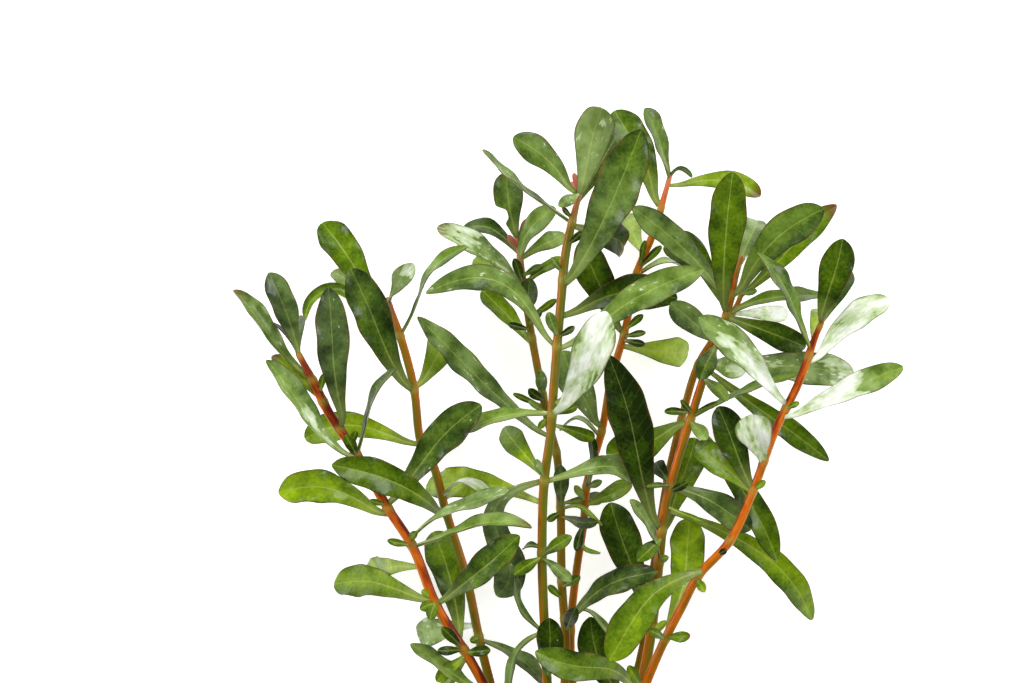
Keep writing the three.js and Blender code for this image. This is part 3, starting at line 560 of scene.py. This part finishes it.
grow(
    "left_outer", radius=(1.4, 1.25), flush_and_side_shading=((0.45, 0.95), (0.9, 1.06)), blush=0.1,
    joints=(131, 125, 119.5, 112.8, 106.8, 93, 84, 69, 57.5, 45, 31),
    line=[
        (-2.6, 8, 11.8), (-3.6, 13, 13.2), (-9, 27.5, 19.5), (-16.5, 41.3, 24.5), (-24, 55, 28),
        (-32.3, 68.5, 31), (-38.3, 83.3, 33), (-44.5, 93, 34.5), (-52.5, 106.8, 35.5), (-59.3, 117, 36),
        (-62.8, 124, 36), (-67.3, 132.5, 36),
    ],
    leaves=[
        (112.8, (-58, 147.8, 50), 8.6, 10, 2, -1.8, 0.13, 0.15, dict(point=0.3)),
        (105.8, (-74.8, 129.8, 44), 7.5, 38, 1, -2.4, 0.55, 0.58, dict(curl=1.0, point=0.5, fresh=0.3)),
        (91.8, (-72, 96.8, 30), 9, 15, 3, 3.2, 0.61, 0),
        (93.8, (-21.5, 119, 42), 9, -10, 2, -1, 0.25, 0.05),
        (69, (-12, 86, 48), 7.8, -15, 3, 1, 0.3, 0.05),
        (69.8, (-58.5, 73, 6), 8.5, 10, 2, 2.2, 0.56, 0),
        (59.5, (-33, 87, 8), 8.8, 0, 0.8, 1, 0.4, 0),
    ],
    small=[
        (124.5, (-82.8, 147.8, 26), 6.5, 40, 1, -2.2, 0.45, 0.42, dict(curl=1.2, point=0.4, brown=0.5)),
        (131.5, (-73.3, 151.8, 46), 7, 20, 1, 0, 0.22, 0.3),
        (131.5, (-66.5, 141.5, 24), 4, -20, 1, 0, 0.25, 0.1),
        (130.5, (-73.3, 139.8, 33), 3.5, 75, 0.5, 0, 0.1, 0),
        (119.5, (-73.5, 131.3, 31), 5, 30, 1, 0, 0.6, 0, dict(brown=1.0)),
        (106.3, (-43, 128.3, 45), 6, -75, 1.5, 0, 0.2, 0),
        (78.3, (-50.3, 77.5, 0.5), 6.5, 0, 2, 0, 0.75, 0),
        (83.3, (-8.8, 90, 47), 6, -60, 2, 0, 0.55, 0.4, dict(curl=0.8, point=0.5, brown=0.5)),
        (85, (-14.5, 98, 42), 5, -55, 2, 0, 0.4, 0.55, dict(twist=60)),
        (56, (-31.5, 40, 20), 5, 40, 3, 0, 0.5, 0.1),
        (44.5, (-38.5, 59.5, 30), 6, 50, 2, -3, 0.5, 0.3),
        (105.8, (-55, 111.3, 40), 3, 0, 0.5, 0, 0.2, 0),
        (93.8, (-48.8, 95, 40), 1.6, 0, 0.3, 0, 0.5, 0),
        (83.5, (-44.5, 85, 38), 2, 0, 0.3, 0, 0.5, 0),
        (85, (-37.3, 87.3, 38), 2, 0, 0.3, 0, 0.5, 0),
        (69.5, (-36.3, 68, 37), 2.8, 0, 0.5, 0, 0.5, 0),
        (69.5, (-34, 65.3, 38), 3, 0, 0.5, 0, 0.5, 0),
        (58, (-30.8, 63.3, 36), 2.8, 0, 0.5, 0, 0.2, 0),
        (57.5, (-32, 57.3, 34), 2.5, 0, 0.5, 0, 0.2, 0),
        (56.5, (-32.5, 49.8, 31), 3.5, 0, 0.8, 0, 0.6, 0),
        (57, (-18.8, 57.3, 34), 3, 0, 0.8, 0, 0.25, 0),
        (108.5, (-52.3, 112.3, 39), 1.8, 0, 0.3, 0, 0.4, 0),
        (121.5, (-60.3, 126.5, 39), 1.8, 0, 0.3, 0, 0.4, 0),
        (70, (-36, 72.5, 33), 1.8, 0, 0.3, 0, 0.6, 0),
    ],
)


# The inner shoot on the left, behind the outer one. Its stem is olive on the left and orange on the right,
# and pinkish at its tip. A small leaf, painted white where its gloss reflects the light, arches forward from
# it, and the lowest large leaf hangs behind it.
grow(
    "left_inner", radius=(1.3, 1.1), flush_and_side_shading=((0.05, 0.5), (0.25, 0.75)), blush=0.5,
    joints=(144, 136, 122.5, 109.2, 91.8, 75.8, 60.5, 45, 31),
    line=[
        (-4.6, 8, 7.4), (-6, 13, 8.6), (-11.5, 25, 13), (-16.5, 40, 17), (-20.5, 55, 19.5),
        (-21.8, 60.5, 20.3), (-25, 75.8, 22), (-30, 91.8, 24), (-33.3, 103.8, 25), (-36.3, 109.3, 25.3),
        (-38, 122.5, 26), (-40.3, 132, 26), (-44.8, 145.8, 26),
    ],
    leaves=[
        (144.5, (-61.5, 164.3, 20), 8.6, 10, 2, -0.2, 0.42, 0),
        (122.5, (-54.3, 152.5, 40), 9.6, 10, 2, -0.6, 0.22, 0.05, dict(wave=0.6, twist=8.0)),
        (123, (-29.3, 135.8, 12), 8, 0, 2, 0, 0.62, 0.1),
        (109, (-65.8, 110.5, 14), 7.5, 0, 3, 4, 0.66, 0),
        (91.5, (-57.5, 104, 52), 8.3, 10, 4, 1.8, 0.42, 0),
        (63.5, (-37, 59.8, 4), 7.5, 0, 2, 1, 0.6, 0.75),
    ],
    small=[
        (135.5, (-66.8, 153.4, 12), 3.6, 5, 2, 1.2, 0.55, 0.1, dict(curl=0.9, hook=-130.0)),
        (141, (-59.3, 152, 0.5), 5, 20, 1, 0, 0.5, 0.1),
        (144.3, (-38.5, 153.8, 40), 5, -35, 1, 0, 0.45, 0.35, dict(twist=70, fresh=-1.2)),
        (136, (-24.8, 158.3, 36), 5, -75, 3, 0, 0.4, 0.3, dict(lift=-0.7, twist=60)),
        (95.5, (-19, 96.3, 33), 4.5, -70, 4, 0, 0.6, 0.8),
        (59.8, (-5.3, 49.3, 22), 6, -50, 2, 0, 0.25, 0.3),
        (60.3, (-24, 59.5, 24), 2, 0, 0.3, 0, 0.5, 0),
    ],
)


# The shoot left of the middle, behind the front one. Its stem is orange low on the left, olive to brown
# elsewhere, and pink at the tip. Its top leaf has a notch eaten out of the left edge.
grow(
    "mid_left", radius=(1.3, 1), flush_and_side_shading=((0.65, 0.35), (0.25, 0.5)), blush=1.0,
    joints=(161, 155, 148, 135.5, 121.3, 107, 93, 74.5, 65, 46, 31),
    line=[
        (-1.4, 8, 3.8), (-1, 13, 4.8), (-0.5, 25, 8), (-0.3, 45, 14), (0, 60, 16.5), (-1, 74.5, 17.5),
        (-1.3, 93, 18), (-2.3, 106.3, 18), (-4.3, 113.8, 18), (-5.8, 121.3, 18), (-8.5, 135.5, 18),
        (-10.8, 150, 19), (-12.3, 162, 20),
    ],
    leaves=[
        (160.8, (-15, 177, 26), 7.6, 0, 1, -0.5, 0.3, 0.15, dict(brown=0.2, bite=(0.4, 0.72, -1))),
        (110.8, (-36, 141.8, 28), 7, 25, 3, -3, 0.3, 0.35, dict(point=0.6)),
        (64.8, (22.8, 76.8, 38), 6.5, -20, 3, -2.3, 0.28, 0.1),
    ],
    small=[
        (148, (-32, 163.5, 26), 6.5, 35, 3, 0, 0.45, 0.72, dict(brown=0.5)),
        (156.5, (-26.3, 162.5, 10), 5, 30, 3, 2, 0.2, 0.05),
        (145, (-22.8, 155.8, 0.5), 6.5, 0, 2, 0, 0.7, 0),
        (133.5, (-21.3, 147.3, 8), 5.5, 20, 1.5, 0, 0.65, 0.05),
        (154.5, (-2.5, 168, 24), 5.5, -20, 2, -2, 0.45, 0.4),
        (155, (0, 161.5, 10), 5, -20, 1.5, 0, 0.55, 0.3),
        (148, (-0.8, 155.5, 26), 4, -50, 1, 0, 0.5, 0),
        (142, (-9.5, 150.3, 34), 5, 0, 1, 0, 0.24, 0),
        (121.3, (-6.3, 127.5, 28), 3, 0, 1, 0, 0.4, 0.3),
        (93, (-1.5, 103.8, 28), 4, 10, 1, 0, 0.25, 0.2),
        (93.8, (9.5, 95.5, 6), 3.5, 0, 1, 0, 0.4, 0),
        (90.8, (8, 89.3, 32), 3.5, 30, 1, 0, 0.2, 0),
        (66.8, (11.5, 59.5, 25), 4, -70, 3.5, 0, 0.6, 0.4),
        (62, (2.3, 68, 27), 3.5, 0, 0.5, 0, 0.2, 0),
        (149.5, (-13, 155.3, 26), 2.5, 0, 0.5, 0, 0.25, 0),
        (161, (-9.5, 165.3, 22), 1.6, 0, 0.3, 0, 0.5, 0, dict(pink=1.0)),
        (137.5, (-14.5, 139, 22), 2, 0, 0.3, 0, 0.15, 0),
        (139, (-6.3, 142.5, 24), 2.3, 0, 0.3, 0, 0.4, 0),
        (140.5, (-2.3, 145, 22), 2, 0, 0.3, 0, 0.5, 0),
        (119.5, (-9.3, 122.5, 23), 2.5, 0, 0.5, 0, 0.15, 0),
        (118, (-13.3, 121.5, 19), 1.6, 0, 0.3, 0, 0.4, 0),
        (73, (3.5, 75.8, 24), 2.5, 0, 0.5, 0, 0.4, 0),
        (70, (-4.5, 73.3, 20), 2, 0, 0.3, 0, 0.4, 0),
        (92, (-4.5, 89.5, 20), 2, 0, 0.3, 0, 0.4, 0),
        (151, (-6, 153.8, 24), 2, 0, 0.3, 0, 0.4, 0.3),
        (158, (-14.5, 161.3, 23), 1.6, 0, 0.3, 0, 0.4, 0, dict(pink=1.0)),
        (116.5, (-9.3, 119.8, 22), 1.6, 0, 0.5, 0, 0.6, 0.4),
        (115.5, (-6.8, 112.8, 20), 1.8, 0, 0.5, 0, 0.5, 0),
        (92.5, (8.8, 88.3, 29), 1.5, 0, 1, -2.5, 0.65, 0.2),
    ],
)


# The middle shoot, in front of all the others, with the largest leaves. Its stem is orange on the left and
# olive on the right, and pinkish at the top, where one leaf shows its underside.
grow(
    "centre", radius=(1.3, 1.2), flush_and_side_shading=((0.62, -0.05), (0.62, 0.12)), blush=0.4,
    joints=(171.5, 164.5, 150, 133.3, 116.5, 99.8, 82, 62, 46, 31),
    line=[
        (1.2, 8, 13.6), (0.6, 13, 15.6), (-1.5, 22.5, 22), (-4, 40, 30), (-5.3, 62, 36.5), (-6, 82, 40),
        (-5.5, 99.5, 42), (-3.8, 112.5, 43), (-3.3, 120.8, 43.5), (-2.3, 133.3, 44), (-1.3, 145, 44),
        (0, 157.5, 44), (3.5, 172.5, 44.5),
    ],
    leaves=[
        (171.3, (-13.3, 185.3, 48), 7.4, 15, 1.5, 1.4, 0.35, 0.24),
        (171.5, (9.5, 192.8, 54), 9.6, 180, 1, 0.7, 0.52, 0.54),
        (149, (18.8, 186.5, 62), 11.6, -10, 3, 1.5, 0.31, 0.2, dict(point=0.3, fresh=0.8)),
        (163.5, (15.2, 158, 28), 8.3, -10, 2, -0.5, 0.18, 0),
        (133.5, (-34, 150.3, 42), 7, 20, 3, 7, 0.35, 0.25, dict(hook=-25.0, droop=20.0, point=0.8)),
        (141, (27.8, 145.3, 38), 9, -5, 2, -3.5, 0.17, 0, dict(point=0.4)),
        (132.8, (34.5, 151.8, 54), 7.8, -10, 3, -2, 0.45, 0.3, dict(point=0.5)),
        (116.8, (9.5, 141.8, 60), 10, -5, 2, 1.7, 0.45, 0.88),
        (94.5, (-35.5, 97.8, 10), 8.3, 5, 3, 2.5, 0.72, 0, dict(point=0.7)),
        (99.8, (-17.5, 70.8, 28), 8.5, 0, 3, 4.5, 0.2, 0.35, dict(bend=4.0)),
        (99.8, (20.3, 97.3, 30), 8.5, -40, 8, 0, 0.4, 0.3),
    ],
    small=[
        (169, (12.5, 185.5, 32), 6, 0, 1, 0, 0.2, 0),
        (164, (-20.5, 183, 38), 6, 75, -1.6, 0, 0.45, 0.25),
        (171.5, (-1.5, 168.3, 54), 3, 0, 0.5, 0, 0.5, 0.5),
        (116.5, (-25.8, 112.5, 36), 6, 50, 2, 0, 0.55, 0.35),
        (100.8, (-16.5, 113.5, 26), 6.3, 0, 2, 0, 0.46, 0, dict(point=0.8)),
        (114, (7.3, 110.5, 34), 3.5, 0, 1, 0, 0.45, 0),
        (81, (0.8, 86.3, 52), 3.5, -20, 0.5, 0, 0.45, 0),
        (81, (-13, 76.8, 48), 3.5, 10, 0.5, 0, 0.4, 0),
        (83, (-10.8, 82.8, 38), 3, 60, 1, 0, 0.2, 0),
        (80.5, (1, 75, 50), 3.5, -30, 0.5, 0, 0.35, 0.4),
        (61.8, (-13, 76.8, 42), 4.5, 60, -3, 0, 0.35, 0.35),
        (62.3, (-15.3, 36.3, 26), 5, 55, 3, 2.6, 0.35, 0.3, dict(bend=2.7)),
        (50, (-4.5, 65.8, 44), 7, 0, 1, 0.5, 0.22, 0),
        (116.3, (2.8, 118.5, 44), 2.3, 0, 0.4, 0, 0.4, 0),
        (135.5, (-4.5, 141.8, 48), 2.8, 0, 0.5, 0, 0.35, 0.3),
        (100.5, (-7.5, 105.3, 45), 2, 0, 0.4, 0, 0.4, 0.4),
        (171.5, (1.8, 176.5, 46), 1.6, 0, 0.3, 0, 0.4, 0, dict(pink=1.0)),
        (171, (1, 174.3, 41), 1.5, 0, 0.3, 0, 0.4, 0, dict(pink=1.0)),
        (119, (1.2, 121, 46), 1.8, 0, 0.3, 0, 0.5, 0.3),
        (135.5, (2, 138.3, 47), 1.8, 0, 0.3, 0, 0.12, 0),
        (158.5, (4.3, 162, 48), 2, 0, 0.3, 0, 0.12, 0),
        (165, (-1, 168, 46), 1.4, 0, 0.3, 0, 0.15, 0, dict(brown=1.0)),
        (151.5, (-3.8, 155.5, 46), 1.8, 0, 0.3, 0, 0.3, 0.2),
    ],
)


# The shoot right of the middle, thin and behind the front one. Its stem is olive low on the left and orange
# above, with a pink tip, and its narrow leaf on the right is notched and has a brown, hooked end.
grow(
    "mid_right", radius=(1.15, 1), flush_and_side_shading=((0.2, 0.6), (0.78, 0.8)), blush=0.55,
    joints=(175, 168, 151.8, 136.5, 112, 98.3, 89, 62, 46, 31),
    line=[
        (3.4, 8, 3.6), (3.7, 13, 4), (4, 25, 5.5), (2, 45, 9), (1.3, 62, 12), (2.8, 77.5, 14),
        (4.5, 88.8, 15.5), (5.3, 98.8, 17), (9, 112, 19), (11.3, 125, 20), (14.8, 137.3, 21),
        (17.8, 151.8, 22), (22, 162, 23), (26.3, 176.8, 24),
    ],
    leaves=[
        (168.3, (11.8, 192.5, 16), 9.2, 0, 2, 1.9, 0.38, 0.05),
        (173.8, (49.3, 173.8, 18), 5.3, 0, 1.5, -1.5, 0.7, 0.1, dict(hook=35, brown=0.9, bite=(0.7, 0.4, 1))),
        (136.8, (4, 160, 30), 9, 0, 2, 0, 0.25, 0, dict(point=0.3)),
        (133.5, (31, 131.5, 2.2), 7.5, 0, 2, 0, 0.82, 0.1, dict(point=0.2)),
        (113.2, (-1, 132, 28), 8.5, 0, 2, 0, 0.35, 0.35),
    ],
    small=[
        (175.5, (20.3, 193, 32), 6.5, 50, 0.4, 0, 0.4, 0.15),
        (176, (31.5, 175.8, 27), 2.5, -60, 2, 0, 0.3, 0.3, dict(curl=1.8)),
        (156.5, (14.8, 166.3, 0.5), 6, 0, 1, 0, 0.8, 0),
        (151, (31, 152.5, 14), 4.5, -70, 3, 0, 0.6, 0.4),
        (110.5, (-1.5, 112.3, 14), 4, 70, 4, 0, 0.6, 0.4),
        (97.5, (6.5, 110.8, 28), 3.5, 50, 1, 0, 0.15, 0),
        (93.5, (16.5, 98.3, 24), 3.5, 0, 1, 0, 0.6, 0.2),
        (93, (15.5, 99.5, 10), 3.5, 0, 1, 0, 0.6, 0),
        (153, (20, 159.8, 27), 1.6, 0, 0.3, 0, 0.4, 0),
        (153, (24, 158.5, 25), 2, 0, 0.3, 0, 0.4, 0),
        (136, (20, 136.8, 25), 1.8, 0, 0.3, 0, 0.3, 0),
        (135, (19.8, 133.8, 24), 2, 0, 0.3, 0, 0.15, 0),
        (89, (2.5, 82.3, 22), 2.5, 0, 0.4, 0, 0.15, 0),
        (98, (9, 99.5, 22), 2, 0, 0.3, 0, 0.4, 0.3),
        (94.5, (2.3, 98.5, 21), 2, 0, 0.4, 0, 0.6, 0.4),
        (137.5, (19.3, 141.3, 25), 2, 0, 0.3, 0, 0.4, 0),
        (86.5, (8.8, 81.5, 20), 1.4, 0, 0.5, 2.2, 0.65, 0.3),
    ],
)


# The inner shoot on the right, with the thickest stem: orange-brown on the left and olive on the right. Its
# very dark front leaf stands before the middle of the plant, and two long leaves hang to the right.
grow(
    "right_inner", radius=(1.6, 1), flush_and_side_shading=((0.62, 0.05), (1.0, 0.35)), blush=0.1,
    joints=(153, 146.5, 141.3, 129.5, 115, 98.3, 87.5, 79.8, 63, 47, 31),
    line=[
        (7.8, 8, 8.6), (8.6, 13, 10), (13.5, 25, 16), (17.5, 37.5, 20.5), (19.3, 49.3, 24),
        (21.5, 62.8, 27), (23.3, 79.8, 30), (24.3, 90, 31.5), (26, 98.3, 33), (31, 115, 34),
        (35.8, 130, 35.5), (40, 141.3, 36), (42.8, 152.5, 36), (44, 156, 36),
    ],
    leaves=[
        (145, (16.8, 168.5, 42), 7.4, 25, 2, 0.6, 0.4, 0.3),
        (142, (40.5, 176.3, 52), 9.4, 0, 2, -0.4, 0.38, 0),
        (146.3, (63.8, 167.8, 44), 9, -10, 2, -2.8, 0.38, 0.12),
        (129, (72.5, 127, 28), 8.5, 0, 1.5, -0.8, 0.36, 0.48, dict(fresh=-0.7)),
        (114, (10, 106.3, 30), 9.5, 0, 1.5, -1.5, 0.5, 0.05),
        (87.8, (11.3, 131, 50), 10.5, 5, 3, 0, 0.1, 0, dict(bend=-0.6, point=0.7)),
        (87, (32.3, 110.8, 24), 8, 0, 2, 0, 0.45, 0),
        (114.5, (53.3, 79.3, 28), 7, -10, 2, -1, 0.35, 0, dict(point=0.5)),
        (92.3, (62.8, 64.8, 1), 6.9, 0, 4, -5, 0.57, 0, dict(point=0.6)),
        (67, (11, 94.3, 26), 9.5, 0, 2, 0, 0.22, 0, dict(point=0.2)),
        (47.5, (-7.8, 57, 48), 7.8, 0, 3, 2, 0.46, 0.05, dict(bend=1.5)),
    ],
    small=[
        (134.3, (26.3, 144.3, 44), 6.5, 0, 1.5, 0, 0.3, 0.3),
        (153, (48, 165.3, 20), 6.3, 0, 2, 0, 0.4, 0.45),
        (147, (24.5, 158.5, 26), 4, 20, 1, 0, 0.15, 0),
        (141, (65, 147, 28), 6, -50, 2, 0, 0.45, 0.1),
        (140.8, (60, 133.5, 34), 6.5, 0, 2, 0, 0.28, 0),
        (115.5, (58.5, 127, 38), 5.5, -70, 1, 0, 0.6, 0.3),
        (133.5, (33.3, 125.5, 48), 5, 0, 1, 0, 0.25, 0.1),
        (129, (45, 127.8, 43), 5.5, 0, 1, 0, 0.55, 0.8),
        (125.8, (40.3, 120, 44), 3.3, 0, 1, 0, 0.5, 0.2),
        (98, (46, 87.5, 37), 7.5, -20, 2, -1.2, 0.25, 0.15),
        (85.5, (18, 80, 42), 4, 0, 1, 0, 0.45, 0),
        (98.8, (22.3, 104.5, 26), 4, 0, 0.5, 0, 0.15, 0),
        (80, (16.5, 95.5, 44), 4, 60, 1, 0, 0.35, 0.3),
        (115, (35, 110, 40), 3.5, 0, 0.6, 0, 0.6, 0.4),
        (117, (24.5, 117.3, 37), 2, 0, 0.4, 0, 0.3, 0),
        (116.5, (28.8, 120, 39), 1.6, 0, 0.3, 0, 0.3, 0),
        (116.5, (38, 119.5, 35), 1.6, 0, 0.3, 0, 0.3, 0),
        (98.8, (20.3, 98.8, 44), 1.6, 0, 0.3, 0, 0.25, 0),
        (80, (25.3, 80.8, 36), 2, 0, 0.3, 0, 0.5, 0),
        (97, (30.3, 99.5, 38), 2.2, 0, 0.3, 0, 0.2, 0),
        (93.5, (34.3, 89.5, 36), 1.4, 0, 0.5, 0, 0.5, 0),
        (48, (15.5, 53.3, 30), 2.8, 0, 0.5, 0, 0.55, 0),
        (134, (42.3, 131, 40), 2.2, 0, 0.4, 0, 0.12, 0),
        (61, (25, 64.8, 32), 2, 0, 0.4, 0, 0.85, 0),
    ],
)


# The back shoot on the right. It is mostly hidden behind its two neighbours, and lies low, so that two of its
# leaves reach down to the surface.
grow(
    "right_back", radius=(1.15, 1), flush_and_side_shading=((0.3, 0.35), (0.6, 0.65)), blush=0.1,
    joints=(146, 141.3, 129, 115, 100, 70, 44, 31),
    line=[
        (6.8, 8, 5), (7.9, 13, 5.6), (12.5, 25, 8), (15.5, 37.5, 11), (17.5, 49.3, 13), (19.8, 60, 15.5),
        (21, 70, 17), (23.5, 87.5, 19), (25.5, 100, 20), (29.5, 117, 20.5), (33.5, 129.5, 21),
        (42.3, 142.5, 21), (44.5, 147.8, 21),
    ],
    leaves=[
        (129, (66.5, 104.3, 1.2), 5.8, 0, 3, 0, 0.42, 0, dict(point=0.8)),
        (44, (6, 65.5, 22), 8.4, 0, 2, -2, 0.22, 0),
    ],
    small=[
        (141, (29.8, 162.8, 18), 5, 0, 1, 0, 0.35, 0),
        (146, (67.8, 169, 24), 6.3, 0, 1.5, 0, 0.5, 0, dict(point=0.4, brown=1.0)),
        (141.5, (56.3, 141.8, 0.6), 4.5, 0, 1, 0, 0.6, 1.0),
        (146.5, (47.8, 147.5, 25), 2, 0, 0.3, 0, 0.55, 0.3),
    ],
)


# The outer shoot on the right. Its stem is bright orange-red, dark red at the top, and has a dark scar. Three
# of its large leaves and one small one are painted white where their gloss reflects the light, and one large
# leaf hangs forward.
grow(
    "right_outer", radius=(1.3, 1.1), flush_and_side_shading=((0.5, 0.4), (1.14, 0.78)), blush=0,
    joints=(138.5, 131, 118, 104.8, 97.5, 85, 76, 60.5, 46, 31),
    line=[
        (5.2, 8, 12.6), (6.4, 13, 14.6), (13, 30, 25), (17.5, 42.5, 31), (21.3, 52.5, 34.5),
        (24.8, 60.5, 36.3), (28.8, 68.3, 38), (32.8, 76, 40), (40.8, 85, 41.5), (46.5, 97.5, 42.5),
        (52, 112.5, 44), (57.8, 124.3, 44), (62, 135.8, 44), (64.3, 141, 44),
    ],
    leaves=[
        (139.5, (68.8, 159.8, 56), 8.3, 0, 1.5, 0, 0.31, 0),
        (129.5, (80.5, 145.3, 40), 7.2, -15, 2, -1.6, 0.5, 0.88),
        (116, (83.3, 129, 54), 6.5, -10, 2, 0, 0.55, 1.0, dict(fresh=0.7)),
        (118.8, (32.8, 140, 58), 7.7, 10, 3, 1.3, 0.5, 0.85, dict(fresh=0.4)),
        (77.5, (11.3, 54.8, 50), 9.5, 0, 3, 4.5, 0.5, 0),
        (61.8, (31.3, 90.5, 20), 9, 0, 2, 1.5, 0.62, 0),
    ],
    small=[
        (138.5, (71.5, 153, 30), 4.5, 0, 1, 0, 0.2, 0),
        (132.5, (48, 157, 56), 6, 50, 1.5, 0, 0.4, 0.15, dict(point=1.0)),
        (134.3, (63, 143, 28), 3.8, 0, 0.5, 0, 0.75, 0),
        (104.3, (45.8, 116.2, 54), 9.5, 0, 1, 0, 0.6, 0.85, dict(point=-3.0)),
        (97.5, (37.5, 118.3, 46), 8, 0, 0, 0, 0.18, 0),
        (97, (32.5, 109.5, 38), 7, 0, 1, 0, 0.55, 0),
        (75.5, (34.3, 72.5, 45), 2.3, 0, 0.4, 0, 0.5, 0),
        (60.5, (30.8, 61.5, 41), 2.8, 0, 0.4, 0, 0.6, 0, dict(brown=0.9)),
        (60.5, (20.8, 62.8, 43), 2.3, 0, 0.4, 0, 0.5, 0),
        (118, (57.8, 119.3, 48), 1.6, 0, 0.3, 0, 0.5, 0),
        (97.5, (49.5, 99.9, 45), 1.8, 0, 0.3, 0, 0.6, 0),
        (81.6, (39.9, 82.9, 44), 1.7, 0, 0.3, 0, 0.0, 0, dict(brown=1.0)),
    ],
)


# A plain white card to lie on, faintly lit from below like a light table, and soft studio light. The camera
# looks straight down, as the photo looks at the plant from the front, and stands far off, so that near and
# far leaves keep nearly the same scale.
card = bpy.data.materials.new("matt_white_card")
card.use_nodes = True
tree = card.node_tree
body = tree.nodes["Principled BSDF"]
tooth = add(tree, "TexNoise", {"Vector": add(tree, "TexCoord").outputs["Object"], "Scale": 900.0})
paper = add(tree, "MixRGB", {"Fac": tooth, "Color1": linear("#f6f6f5"), "Color2": linear("#fbfbfa")})
tree.links.new(paper.outputs[0], body.inputs["Base Color"])
body.inputs["Roughness"].default_value = 0.9
body.inputs["Specular IOR Level"].default_value = 0.1
body.inputs["Emission Color"].default_value = linear("#ffffff")
body.inputs["Emission Strength"].default_value = 0.5
CARD_HALF = 6.0
corners = [(x * CARD_HALF, y * CARD_HALF, 0) for x, y in ((-1, -1), (1, -1), (1, 1), (-1, 1))]
floor_mesh = bpy.data.meshes.new("white_card")
floor_mesh.from_pydata(corners, [], [(0, 1, 2, 3)])
floor_mesh.materials.append(card)
floor = bpy.data.objects.new("white_card", floor_mesh)
bpy.context.scene.collection.objects.link(floor)

SIGHT = (-13.5, 134.6)
PIXELS_PER_MM = 4.0
IMAGE_WIDTH = 1024
LEAF_LEVEL = 30.0
CAMERA_HEIGHT = 3.0
SENSOR = 36.0
aim = ORIGIN + np.array([SIGHT[0], SIGHT[1], LEAF_LEVEL]) * MM
# The direction that a lamp's light comes from, as its azimuth from +X towards +Y and its elevation in
# degrees, its distance, width and power, and whether it shows in the gloss.
LAMPS = [
    ("overhead_fill", 90, 89, 1.6, 2.4, 21.5, False),
    ("top_light", 95, 38, 1.3, 0.5, 9.0, True),
    ("left_light", 175, 28, 1.3, 0.4, 7.2, True),
    ("right_light", 5, 28, 1.3, 0.4, 7.2, True),
]
for name, azimuth, elevation, distance, width, power, glossy in LAMPS:
    lamp = bpy.data.lights.new(name, "AREA")
    lamp.size = width
    lamp.energy = power
    holder = bpy.data.objects.new(name, lamp)
    turn, rise = math.radians(azimuth), math.radians(elevation)
    away = np.array([math.cos(turn) * math.cos(rise), math.sin(turn) * math.cos(rise), math.sin(rise)])
    holder.location = aim + away * distance
    holder.rotation_euler = Vector(-away).to_track_quat("-Z", "Y").to_euler()
    holder.visible_camera = False
    holder.visible_glossy = glossy
    bpy.context.scene.collection.objects.link(holder)
world = bpy.data.worlds.new("studio")
world.use_nodes = True
world.node_tree.nodes["Background"].inputs["Color"].default_value = linear("#f6f6f6")
world.node_tree.nodes["Background"].inputs["Strength"].default_value = 0.1
bpy.context.scene.world = world
bpy.context.scene.view_settings.view_transform = "Standard"

lens = bpy.data.cameras.new("camera")
lens.sensor_width = SENSOR
lens.lens = SENSOR * (CAMERA_HEIGHT - aim[2]) / (IMAGE_WIDTH / PIXELS_PER_MM * MM)
lens.clip_end = 20.0
camera = bpy.data.objects.new("camera", lens)
camera.location = (aim[0], aim[1], CAMERA_HEIGHT)
bpy.context.scene.collection.objects.link(camera)
bpy.context.scene.camera = camera
